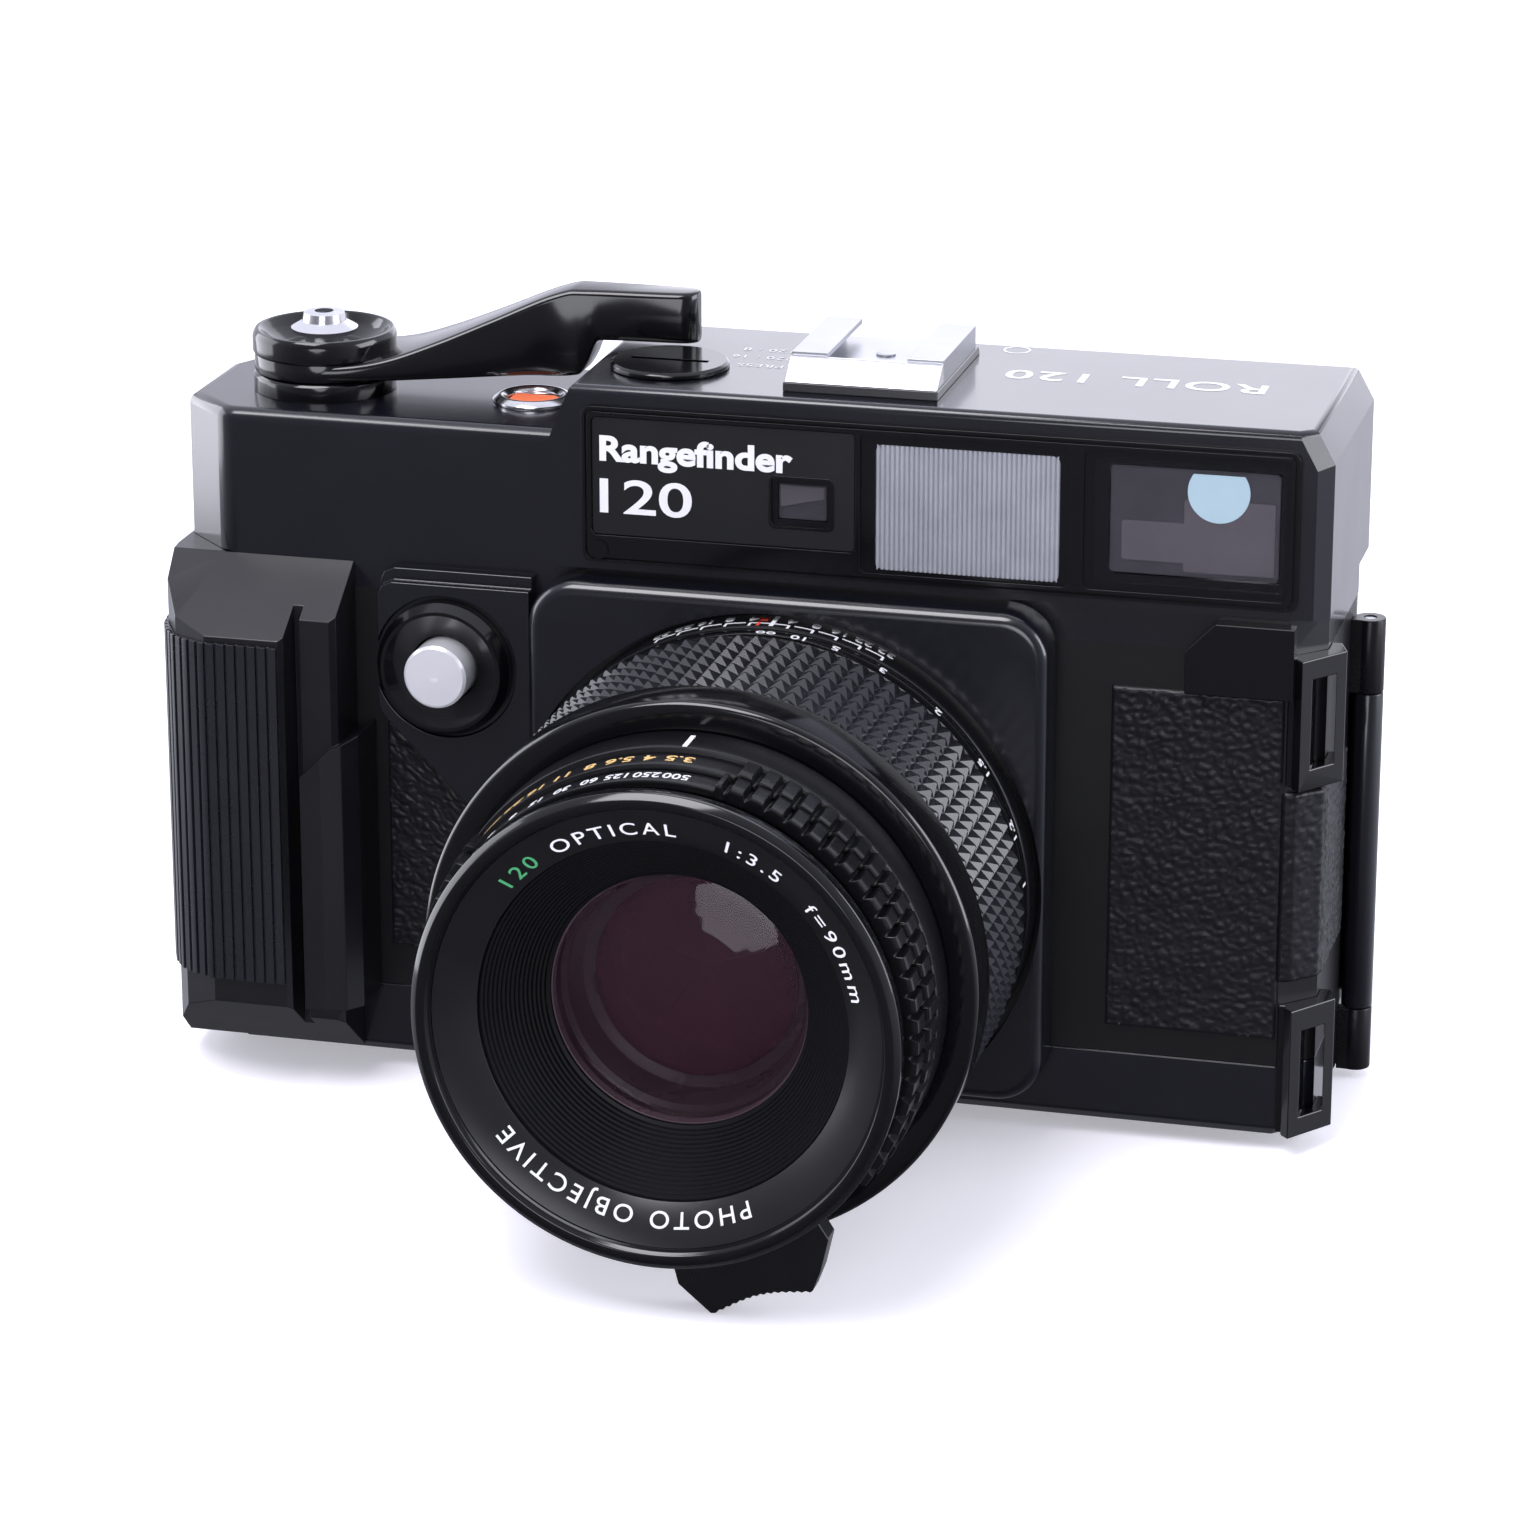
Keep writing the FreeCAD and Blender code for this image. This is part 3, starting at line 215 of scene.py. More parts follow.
def round_edges(thing, width):
    """Rounds the sharp edges of an object, so that they catch the light."""
    bevel = thing.modifiers.new("bevel", "BEVEL")
    bevel.width = width * MM
    bevel.segments = 3
    bevel.limit_method = "ANGLE"
    bevel.angle_limit = math.radians(BEVEL_ANGLE)
    bevel.harden_normals = True


def make(name, verts, faces, look, body, replaces=(), angle=32, bevel=0.0):
    """A mesh piece from points in millimetres, riding on a body."""
    mesh = bpy.data.meshes.new(name)
    mesh.from_pydata([Vector(v) * MM for v in verts], [], faces)
    tidy = bmesh.new()
    tidy.from_mesh(mesh)
    bmesh.ops.remove_doubles(tidy, verts=tidy.verts, dist=WELD)
    bmesh.ops.recalc_face_normals(tidy, faces=tidy.faces)
    tidy.to_mesh(mesh)
    tidy.free()
    mesh.shade_smooth()
    mesh.set_sharp_from_angle(angle=math.radians(angle))
    mesh.materials.append(look)
    piece = bpy.data.objects.new(name, mesh)
    show(piece)
    if bevel:
        round_edges(piece, bevel)
    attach(piece, body)
    if replaces:
        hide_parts(*replaces)
    return piece


def tube_faces(sections, size, closed=False):
    """Faces through sections of size points each: a closed ring, or a tube with end caps."""
    faces = []
    for i in range(sections if closed else sections - 1):
        here, there = i * size, (i + 1) % sections * size
        for j in range(size):
            k = (j + 1) % size
            faces.append((here + j, here + k, there + k, there + j))
    if not closed:
        last = (sections - 1) * size
        faces += [tuple(range(size)), tuple(range(last, last + size))]
    return faces


def eased(profile, reach):
    """A closed profile with each corner cut into a small round."""
    loop = []
    for i, corner in enumerate(profile):
        here = Vector(corner)
        before, after = Vector(profile[i - 1]), Vector(profile[(i + 1) % len(profile)])
        if here.x < ON_AXIS:
            loop.append(tuple(here))
            continue
        a, b = before - here, after - here
        cut = min(reach, a.length * 0.4, b.length * 0.4)
        start, end = here + a.normalized() * cut, here + b.normalized() * cut
        middle = (start + end) * 0.25 + here * 0.5
        loop += [tuple(start), tuple(middle), tuple(end)]
    return loop


LENS_Z = (span("front_ring")[0].z + span("front_ring")[1].z) / 2


def on_lens(degrees, radius, y):
    """A point round the lens axis; 0 is the top, and degrees grow towards the finder."""
    turn = math.radians(degrees)
    return (radius * math.sin(turn), y, LENS_Z + radius * math.cos(turn))


def lathe(name, profile, look, body, centre=None, replaces=(), steps=240, reach=0.25,
          wave=None):
    """A turned piece: round the lens axis, or upright at centre; wave changes the radius."""
    loop = eased(profile, reach)
    verts = []
    for i in range(steps):
        degrees = 360 * i / steps
        for radius, place in loop:
            r = wave(degrees, radius) if wave else radius
            if centre is None:
                verts.append(on_lens(degrees, r, place))
            else:
                turn = math.radians(degrees)
                verts.append((centre[0] + r * math.cos(turn), centre[1] + r * math.sin(turn),
                              place))
    return make(name, verts, tube_faces(steps, len(loop), closed=True), look, body, replaces)


def rounded(x0, z0, x1, z1, radius, steps=6):
    """A rectangle with round corners, as points."""
    points = []
    for cx, cz, start in ((x1 - radius, z1 - radius, 0), (x0 + radius, z1 - radius, 90),
                          (x0 + radius, z0 + radius, 180), (x1 - radius, z0 + radius, 270)):
        for i in range(steps + 1):
            turn = math.radians(start + 90 * i / steps)
            points.append((cx + radius * math.cos(turn), cz + radius * math.sin(turn)))
    return points


# how a flat outline (u, v) at depth w stands on the camera
def facing_front(u, v, w):
    return (u, w, v)


def facing_up(u, v, w):
    return (u, v, w)


def facing_side(u, v, w):
    return (w, u, v)


def outline_mesh(curve):
    """The points and faces of a filled curve; the curve itself is removed."""
    holder = bpy.data.objects.new("outline", curve)
    mesh = bpy.data.meshes.new_from_object(holder)
    points = [v.co.copy() for v in mesh.vertices]
    faces = [tuple(p.vertices) for p in mesh.polygons]
    bpy.data.objects.remove(holder)
    bpy.data.curves.remove(curve)
    bpy.data.meshes.remove(mesh)
    return points, faces


def plate(name, loops, start, end, look, body, replaces=(), place=facing_front, bevel=0.12):
    """A flat piece cut from outlines: the first is its edge and the others its holes."""
    curve = bpy.data.curves.new("plate", "CURVE")
    curve.dimensions = "2D"
    curve.fill_mode = "BOTH"
    curve.extrude = abs(end - start) / 2
    for loop in loops:
        spline = curve.splines.new("POLY")
        spline.points.add(len(loop) - 1)
        for point, (u, v) in zip(spline.points, loop):
            point.co = (u, v, 0, 1)
        spline.use_cyclic_u = True
    points, faces = outline_mesh(curve)
    verts = [place(co.x, co.y, (start + end) / 2 + co.z) for co in points]
    return make(name, verts, faces, look, body, replaces, bevel=bevel)


CAPITAL = 0.70                        # height of a capital letter in a text curve
INK = 0.06                            # thickness of painted marks


def words_mesh(words, height, spread=1.0, weight=0.0, wide=1.0):
    """The outlines of some words as points (u, v, w), centred, w from 0 to 1."""
    curve = bpy.data.curves.new("words", "FONT")
    curve.body = words
    curve.align_x = "CENTER"
    curve.space_character = spread
    curve.offset = weight
    curve.extrude = 0.5
    curve.resolution_u = 6
    points, faces = outline_mesh(curve)
    scale = height / CAPITAL
    return [(co.x * scale * wide, co.y * scale - height / 2, co.z + 0.5)
            for co in points], faces


def lettering(name, items, look, body):
    """One piece of painted words; each item is (mesh of words, place(u, v, w))."""
    verts, faces = [], []
    for (points, cells), place in items:
        start = len(verts)
        verts += [place(u, v, w * INK) for u, v, w in points]
        faces += [tuple(start + i for i in cell) for cell in cells]
    return make(name, verts, faces, look, body)


def bar_mesh(length, height):
    """A painted line: length along u, height along v, in short pieces so that it bends."""
    cuts = max(1, round(length))
    points = []
    for i in range(cuts + 1):
        u = length * (i / cuts - 0.5)
        points += [(u, -height / 2, 0), (u, height / 2, 0), (u, height / 2, 1),
                   (u, -height / 2, 1)]
    return points, tube_faces(cuts + 1, 4)


def round_ring(degrees, radius, y):
    """Places words on a ring so that they read from behind the camera."""
    def place(u, v, w):
        return on_lens(degrees - math.degrees(u / radius), radius + w, y - v)
    return place


# ---------------------------------------------------------------- lens
# the name ring's face slopes forward from its inner edge to its outer one
NAME_INNER, NAME_INNER_Y = 29.4, -93.9
NAME_OUTER, NAME_OUTER_Y = 35.6, -97.7
NAME_SLOPE = (NAME_INNER_Y - NAME_OUTER_Y) / (NAME_OUTER - NAME_INNER)
NAME_MIDDLE = 31.9                    # radius of the middle of its words
# the radii that carry the scales
SPEED_R, APERTURE_R, BAND_R, FOCUS_R, DEPTH_R = 38.6, 39.4, 40.3, 43.6, 43.8
SCALLOPS = 4.95                       # degrees from one knurled ridge to the next
KNURLED_STEPS = 1800
GRIP_ROWS, GRIP_COUNT = 8, 94         # pyramids along and round the focus grip


def lens_face():
    """Front ring with its filter thread, the name ring and the ridged cone."""
    thread = []
    for i in range(4):
        thread += [(36.25, -98.02 - i * 0.32), (35.98, -98.18 - i * 0.32)]
    profile = [(32.0, -92.8), (32.0, -94.9), (35.6, -97.15), (35.6, -97.95)] + thread
    profile += [(36.3, -99.4), (37.6, -99.4), (38.6, -98.5), (38.6, -96.2), (37.3, -96.0),
                (37.3, -92.8)]
    lathe("front_ring_turned", profile, GLOSS, "lens_unit", replaces=["front_ring"],
          reach=0.12)
    lathe("name_ring_turned", [(NAME_INNER, NAME_INNER_Y), (35.55, -97.67), (35.55, -97.15),
                               (31.9, -94.87), (31.9, -92.9), (NAME_INNER, -92.9)],
          RINGS, "lens_unit", replaces=["name_ring"], reach=0.1)
    steps, fall, depth = 16, 0.53, 0.58
    cone = []
    for i in range(steps):
        radius, place = 29.3 - i * fall, -93.5 + i * depth
        cone += [(radius, place), (radius - 0.12, place + depth)]
    cone += [(20.6, -84.1), (20.6, -82.6), (29.3, -82.6)]
    lathe("ridged_cone_turned", cone, MATT, "lens_unit", replaces=["ridged_cone"], reach=0.08)


def name_ring_words():
    """Generic words round the name ring, all with their tops outwards."""
    def around(degrees):
        def place(u, v, w):
            radius = NAME_MIDDLE + v
            y = NAME_INNER_Y - (radius - NAME_INNER) * NAME_SLOPE - w
            return on_lens(degrees + math.degrees(u / NAME_MIDDLE), radius, y)
        return place

    big = dict(height=2.35, spread=1.32, weight=0.004, wide=1.22)
    lettering("name_ring_white_words", [
        (words_mesh("OPTICAL", **big), around(-13.3)),
        (words_mesh("1:3.5", **big), around(27.5)),
        (words_mesh("f=90mm", **big), around(62.5)),
        (words_mesh("PHOTO OBJECTIVE", **big), around(192.5)),
    ], WHITE_GLOWING, "lens_unit")
    lettering("name_ring_green_word", [(words_mesh("120", **big), around(-43.9))],
              GREEN_GLOWING, "lens_unit")


def disc_profile(radius, front, edge_front, edge_rear, rear, cuts=10):
    """A lens element with round faces, from its centre out to the rim and back."""
    profile = []
    for i in range(cuts + 1):
        r = radius * i / cuts
        profile.append((r, front + (edge_front - front) * (r / radius) ** 2))
    for i in range(cuts + 1):
        r = radius * (1 - i / cuts)
        profile.append((r, rear + (edge_rear - rear) * (r / radius) ** 2))
    return profile


def lens_glass():
    """The front element, the two inner glasses, and the cells that hold them, tinted with painted
    coating reflections.
    """
    lathe("front_glass_ground", disc_profile(20.35, -84.5, -81.6, -80.0, -79.2), FRONT_GLASS_PAINTED_REFLECTION,
          "lens_unit", replaces=["front_glass"], reach=0.02)
    lathe("inner_glass_front", disc_profile(16.4, -75.0, -73.5, -72.0, -72.7), INNER_GLASS_PAINTED_REFLECTION,
          "lens_unit", replaces=["inner_glasses"], reach=0.02)
    lathe("inner_glass_rear", disc_profile(16.9, -46.0, -45.0, -42.0, -40.2), INNER_GLASS_PAINTED_REFLECTION,
          "lens_unit", replaces=["inner_glasses"], reach=0.02)
    cell = [(20.4, -83.4), (34.9, -83.4), (34.9, -71.1), (16.5, -71.1), (16.5, -73.4)]
    for i in range(7):
        place = -73.6 - i * 0.75
        cell += [(18.3 + i * 0.1, place), (18.6 + i * 0.1, place - 0.4)]
    cell += [(19.3, -79.0), (20.4, -79.1)]
    lathe("front_cell_turned", cell, BAFFLE_PAINTED_REFLECTION, "lens_unit", replaces=["glass_cells"], reach=0.05)
    rear = [(17.0, -57.0), (34.9, -57.0), (34.9, -54.1), (20.9, -54.0), (20.9, -34.1),
            (17.0, -34.1)]
    lathe("rear_cell_turned", rear, BAFFLE_PAINTED_REFLECTION, "lens_unit", replaces=["glass_cells"])


def scalloped(valley, peak, zones):
    """A knurled rim: flat-topped ridges with hollow flutes, inside the given zones."""
    inside, ends = 1.2, 0.3           # depth left plain, and degrees to fade in at a zone's ends
    flat, slope = 0.60, 0.30          # parts of half a ridge
    hollow = 0.7

    def wave(degrees, radius):
        if radius < valley - inside:
            return radius
        for start, end, phase in zones:
            turn = (degrees - start) % 360
            if turn <= end - start:
                beat = ((turn - phase) / SCALLOPS) % 1.0
                flute = min(1.0, max(0.0, (abs(beat - 0.5) * 2 - flat) / slope))
                edge = min(1.0, turn / ends, (end - start - turn) / ends)
                return radius + (peak - valley) * edge * (1 - flute ** hollow)
        return radius
    return wave


def lens_rings():
    """The aperture ring, the barrel with its index band, the focus ring and the depth ring."""
    bore, r = 37.15, APERTURE_R
    lathe("aperture_ring_turned",
          [(bore, -87.0), (r, -87.0), (r, -85.2), (r, -83.4), (r, -81.5), (bore, -81.5)],
          ANODISED, "aperture_ring", replaces=["aperture_ring"], steps=KNURLED_STEPS,
          wave=scalloped(r, 40.5, [(14.2, 128.0, 0.0), (194.0, 306.0, 0.0)]))
    lathe("barrel_turned",
          [(35.0, -92.7), (36.9, -92.7), (36.9, -81.3), (40.2, -81.3), (BAND_R, -80.5),
           (BAND_R, -73.4), (38.7, -73.4), (38.7, -31.1), (35.0, -31.1)],
          ANODISED, "lens_unit", replaces=["lens_barrel"])
    lathe("focus_ring_turned",
          [(39.2, -73.0), (44.2, -73.0), (44.8, -72.4), (44.8, -64.1), (42.3, -64.0),
           (42.3, -34.0), (FOCUS_R, -34.0), (FOCUS_R, -29.7), (39.2, -29.7)], GLOSS,
          "focus_ring", replaces=["focus_ring"], reach=0.3)
    lathe("depth_ring_turned",
          [(39.4, -29.25), (43.6, -29.25), (DEPTH_R, -28.6), (DEPTH_R, -22.2), (39.4, -22.2)],
          ANODISED, "camera_body", replaces=["depth_ring"], reach=0.3)


def speed_ring():
    """The shutter speed ring with its low finger tab."""
    bore, r = 37.15, SPEED_R
    zones = [(12.0, 128.0, SCALLOPS / 2), (194.0, 306.0, SCALLOPS / 2)]
    lathe("speed_ring_turned",
          [(bore, -92.4), (r, -92.4), (r, -90.6), (r, -88.9), (r, -87.4), (bore, -87.4)],
          ANODISED, "speed_ring", replaces=["speed_ring"], steps=KNURLED_STEPS,
          wave=scalloped(r, 39.9, zones))
    # finger tab: a plate with two horns and a serrated hollow between them
    tip, teeth = 48.9, 26
    outline = [(38.0, 179.5), (44.0, 177.5), (tip, 171.6)]
    for i in range(teeth + 1):
        turn = 170.6 - i * 0.72
        bow = 1.9 * math.sin(math.pi * i / teeth)
        outline.append((tip - bow - (0.35 if i % 2 else 0.0), turn))
    outline += [(48.7, 151.2), (46.5, 148.0), (42.6, 142.5), (38.0, 142.0)]
    verts = [on_lens(turn, radius, y) for y in (-92.0, -87.8) for radius, turn in outline]
    make("speed_ring_tab", verts, tube_faces(2, len(outline)), ANODISED, "speed_ring",
         bevel=0.25)


def focus_grip():
    """Rubber sleeve cut into rows of pyramids."""
    front, rear = -63.9, -34.1
    inside, low, high = 42.35, 43.1, 44.35
    foot, tip = 0.5, 0.06             # half widths of a pyramid, as parts of its pitch
    pitch, step = (rear - front) / GRIP_ROWS, 360 / GRIP_COUNT
    verts, faces = [], []
    for row in range(GRIP_ROWS):
        for column in range(GRIP_COUNT):
            y, turn = front + pitch * (row + 0.5), step * column
            base = len(verts)
            for scale, radius in ((foot, low), (tip, high)):
                for a, b in ((-1, -1), (1, -1), (1, 1), (-1, 1)):
                    verts.append(on_lens(turn + a * scale * step, radius, y + b * scale * pitch))
            for i in range(4):
                k = (i + 1) % 4
                faces.append((base + i, base + k, base + 4 + k, base + 4 + i))
            faces.append((base + 4, base + 5, base + 6, base + 7))
    size = len(verts)
    for i in range(GRIP_COUNT):
        for radius, y in ((low, front), (inside, front), (inside, rear), (low, rear)):
            verts.append(on_lens(step * (i - 0.5), radius, y))
    for i in range(GRIP_COUNT):
        k = (i + 1) % GRIP_COUNT
        for j in range(3):
            faces.append((size + i * 4 + j, size + k * 4 + j, size + k * 4 + j + 1,
                          size + i * 4 + j + 1))
    make("focus_grip_pyramids", verts, faces, RUBBER, "focus_ring", replaces=["focus_grip"],
         angle=15)


def lens_scales():
    """Numbers and lines on the lens rings; they read from behind the camera."""
    number = dict(weight=0.01, wide=1.2)
    stops = ("3.5", "4", "5.6", "8", "11", "16", "22", "32")
    lettering("aperture_numbers", [
        (words_mesh(text, 2.3, **number), round_ring(0.7 - 7.05 * i, APERTURE_R, -84.2))
        for i, text in enumerate(stops)], GOLD, "aperture_ring")
    speeds = ("500", "250", "125", "60", "30", "15", "8", "4", "2", "1", "T")
    lettering("speed_numbers", [
        (words_mesh(text, 2.2, weight=0.008, wide=0.92),
         round_ring(2.2 - 6.9 * i, SPEED_R, -90.0))
        for i, text in enumerate(speeds)], WHITE_GLOWING, "speed_ring")
    lettering("lens_index_line", [(bar_mesh(0.75, 5.4), round_ring(0.4, BAND_R, -78.2))],
              WHITE_GLOWING, "lens_unit")
    metres = (("1", 84), ("1.2", 72), ("1.5", 57), ("2", 41.5), ("3", 27), ("5", 16),
              ("10", 8), ("oo", 0.5))
    lettering("distance_numbers", [
        (words_mesh(text, 1.8, **number), round_ring(turn, FOCUS_R, -31.8))
        for text, turn in metres], WHITE_GLOWING, "focus_ring")
    marks = []
    for side in (-1, 1):
        for i, text in enumerate(("4", "8", "16", "22", "32")):
            turn = side * (4.2 + 5.3 * i)
            marks += [(words_mesh(text, 1.9, **number), round_ring(turn, DEPTH_R, -25.0)),
                      (bar_mesh(0.4, 1.6), round_ring(turn, DEPTH_R, -28.0)),
                      (bar_mesh(3.2, 0.3), round_ring(turn - side * 2.1, DEPTH_R, -27.2))]
    marks.append((bar_mesh(0.7, 5.2), round_ring(0.5, DEPTH_R, -25.8)))
    lettering("depth_marks", marks, WHITE_GLOWING, "camera_body")
    lettering("infrared_mark", [
        (words_mesh("R", 1.9, **number), round_ring(-2.0, DEPTH_R, -24.8)),
        (bar_mesh(0.5, 1.8), round_ring(-2.4, DEPTH_R, -27.6))], RED, "camera_body")


lens_face()
name_ring_words()
lens_glass()
lens_rings()
speed_ring()
focus_grip()
lens_scales()


# ---------------------------------------------------------------- finder windows
# faces of the window surround, from the front back
RIM_FACE, PANEL_FACE, FLOOR_FACE, SEAT = -21.9, -21.6, -21.4, -21.0
FRAME_WINDOW = (15.9, 93.5, 46.1, 114.3)      # left, low, right, high
RIBS, RIB_CUTS, RIB_DEPTH = 38, 8, 0.34


def bezel():
    """The black surround: nested edges round a name panel and two windows."""
    layers = (
        ("bezel_rim", RIM_FACE, SEAT, GLOSS, 0.25,
         [rounded(-33.0, 91.4, 84.6, 117.6, 1.7), rounded(-32.45, 91.95, 84.05, 117.05, 1.3)]),
        ("bezel_frame", RIM_FACE, SEAT, GLOSS, 0.32,
         [rounded(-32.1, 92.3, 83.7, 116.7, 1.1), rounded(-31.4, 96.0, 12.7, 116.0, 1.0),
          rounded(13.5, 92.9, 47.7, 116.0, 1.0), rounded(50.0, 92.9, 83.0, 116.0, 1.2)]),
        ("bezel_floor", FLOOR_FACE, -21.05, GLOSS, 0.05,
         [rounded(-32.8, 91.6, 84.4, 117.4, 1.5), rounded(-1.3, 99.6, 8.8, 107.6, 0.8),
          rounded(*FRAME_WINDOW, 1.3), rounded(51.4, 94.2, 82.2, 114.9, 0.8)]),
        ("bezel_name_panel", PANEL_FACE, -21.35, PANEL, 0.08,
         [rounded(-31.2, 96.2, 12.5, 115.8, 0.8), rounded(-1.5, 99.4, 9.0, 107.8, 1.0)]),
        ("bezel_window_edge", -21.75, FLOOR_FACE, GLOSS, 0.1,
         [rounded(-1.7, 99.2, 9.2, 108.0, 1.1), rounded(-1.25, 99.65, 8.75, 107.55, 0.9)]))
    for name, front, rear, look, bevel, loops in layers:
        plate(name, loops, front, rear, look, "camera_body", replaces=["window_bezel"],
              bevel=bevel)


def windows():
    """Two clear panes, the ribbed frame window, and flat sheets with painted light and
    reflections for what shows inside the finder.
    """
    x0, z0, x1, z1 = FRAME_WINDOW
    rear, verts, cuts = -21.02, [], RIBS * RIB_CUTS
    for i in range(cuts + 1):
        x = x0 + (x1 - x0) * i / cuts
        y = -21.42 + RIB_DEPTH * abs(math.cos(math.pi * RIBS * i / cuts)) ** 4
        verts += [(x, y, z0), (x, y, z1), (x, rear, z1), (x, rear, z0)]
    make("frame_window_ribs", verts, tube_faces(cuts + 1, 4), RIBBED, "camera_body",
         replaces=["front_windows"], angle=70)
    for name, edges in (("rangefinder_pane", (-1.2, 99.7, 8.7, 107.5)),
                        ("finder_pane", (51.5, 94.3, 82.1, 114.8))):
        plate(name, [rounded(*edges, 0.7)], -21.3, -21.06, PANE, "camera_body",
              replaces=["front_windows"], bevel=0.05)
    # painted light and reflections behind the panes: flat sheets in place of the finder's insides
    plate("finder_painted_light_sheet", [rounded(54.1, 95.8, 81.3, 113.5, 0.8)], -20.6, -20.2, PAINTED_FINDER_LIGHT,
          "camera_body")
    plate("finder_painted_reflection_tall", [rounded(66.0, 96.6, 80.6, 108.6, 0.5)], -20.75, -20.58, PAINTED_FINDER_REFLECTION,
          "camera_body", bevel=0.05)
    plate("finder_painted_reflection_low", [rounded(56.0, 98.0, 72.0, 104.5, 0.5)], -20.72, -20.58, PAINTED_FINDER_REFLECTION,
          "camera_body", bevel=0.05)
    # a painted reflection: a glowing pale disc behind the finder pane, cut flat at its top
    eye_x, eye_z, eye_r, eye_top = 71.5, 110.0, 5.0, 113.3
    eye = [(eye_x + eye_r * math.cos(math.radians(a)), eye_z + eye_r * math.sin(math.radians(a)))
           for a in range(145, 396, 5)]
    plate("finder_eye_reflection", [[(u, min(v, eye_top)) for u, v in eye]], -20.95, -20.8,
          PAINTED_EYE_REFLECTION, "camera_body", bevel=0.02)
    plate("rangefinder_painted_light_sheet", [rounded(-0.2, 100.7, 7.7, 106.5, 0.4)], -20.6, -20.3, PAINTED_FINDER_LIGHT,
          "camera_body", bevel=0.05)
    plate("rangefinder_light", [[(0.1, 106.3), (0.1, 102.6), (7.4, 104.4), (7.4, 106.3)]],
          -20.75, -20.6, PAINTED_FINDER_REFLECTION, "camera_body", bevel=0.02)


def fitted(words, left, right, low, height, face, weight=0.0):
    """Words on a front face, stretched to fill a width."""
    points, faces = words_mesh(words, height, weight=weight)
    start, end = min(p[0] for p in points), max(p[0] for p in points)
    scale = (right - left) / (end - start)

    def place(u, v, w):
        return (left + (u - start) * scale, face - w, low + height / 2 + v)
    return (points, faces), place


def panel_words():
    """Words beside the windows and on the top, and the ring that marks the film plane."""
    lettering("name_panel_words", [
        fitted("Rangefinder", -30.0, 2.3, 108.7, 4.0, PANEL_FACE, 0.035),
        fitted("120", -30.0, -14.5, 99.9, 5.7, PANEL_FACE, 0.010)], WHITE_GLOWING, "camera_body")

    def on_top(x, y):
        def place(u, v, w):
            return (x - u, y - v, HOUSING_TOP + w)
        return place

    small = dict(height=1.7, spread=1.1, wide=1.2)
    lettering("housing_top_words", [
        (words_mesh("120 : 8", **small), on_top(-9.2, 8.6)),
        (words_mesh("220 : 16", **small), on_top(-9.2, 3.8)),
        (words_mesh("PRESS", **small), on_top(-8.2, -1.6)),
        (words_mesh("ROLL 120", 5.4, spread=1.1, weight=0.012, wide=1.25), on_top(53.5, 3.5)),
    ], WHITE_GLOWING, "camera_body")
    mark_x, mark_y, mark_r, bore = 30.4, 19.2, 2.3, 0.85
    ring = [(mark_x + mark_r * math.cos(math.radians(a)),
             mark_y + mark_r * math.sin(math.radians(a))) for a in range(0, 360, 10)]
    hole = [(mark_x + (x - mark_x) * bore, mark_y + (y - mark_y) * bore) for x, y in ring]
    plate("film_plane_mark", [ring, hole], HOUSING_TOP, 120.75, WHITE_GLOWING, "camera_body",
          place=facing_up, bevel=0.0)


# ---------------------------------------------------------------- grip and leather
def grip_ribs():
    """The rubber pad wrapped round the grip, with narrow upright grooves."""
    outer = [Vector(p) for p in ((-82.3, -33.8), (-95.2, -33.8), (-98.6, -32.4),
                                 (-101.5, -30.5), (-103.8, -27.4), (-105.4, -23.7),
                                 (-106.2, -19.5), (-106.5, -15.0), (-106.5, -6.0))]
    inner = [(-105.75, -6.0), (-105.75, -15.0), (-104.7, -23.5), (-101.1, -30.0),
             (-95.0, -33.05), (-82.3, -33.05)]
    inner_side, pitch, deep = Vector((-93, -20)), 1.8, 0.55
    plan, travelled, groove = [outer[0]], 0.0, 1.5
    for a, b in zip(outer, outer[1:]):
        length = (b - a).length
        along = (b - a) / length
        inwards = Vector((along.y, -along.x))
        if inwards.dot(inner_side - a) < 0:
            inwards = -inwards
        while groove < travelled + length:
            at = groove - travelled
            for shift, cut in ((-0.30, 0.0), (-0.20, deep), (0.20, deep), (0.30, 0.0)):
                if 0 < at + shift < length:
                    plan.append(a + along * (at + shift) + inwards * cut)
            groove += pitch
        travelled += length
        plan.append(b)
    plan = [tuple(p) for p in plan] + inner
    plate("grip_pad_ribs", [plan], 17.0, 76.0, RUBBER, "camera_body", replaces=["grip_pad"],
          place=facing_up)


# noise_vector takes its offsets from this seed; without one the clock would set them, and the
# leather would differ from run to run
GRAIN_SEED = 7
noise.seed_set(GRAIN_SEED)


def pebble(s, t):
    """Height from 0 to 1 of the leather grain at a place on the skin, in mm."""
    spot = Vector((s * 0.58, t * 0.70, 0.0))
    spot += noise.noise_vector(spot * 1.1) * 0.50
    near = noise.voronoi(spot)[0]
    crease = min(1.0, (near[1] - near[0]) * 3.0) ** 0.6
    return crease * (0.72 + 0.28 * noise.noise(Vector((s, t, 3.0)) * 0.9))


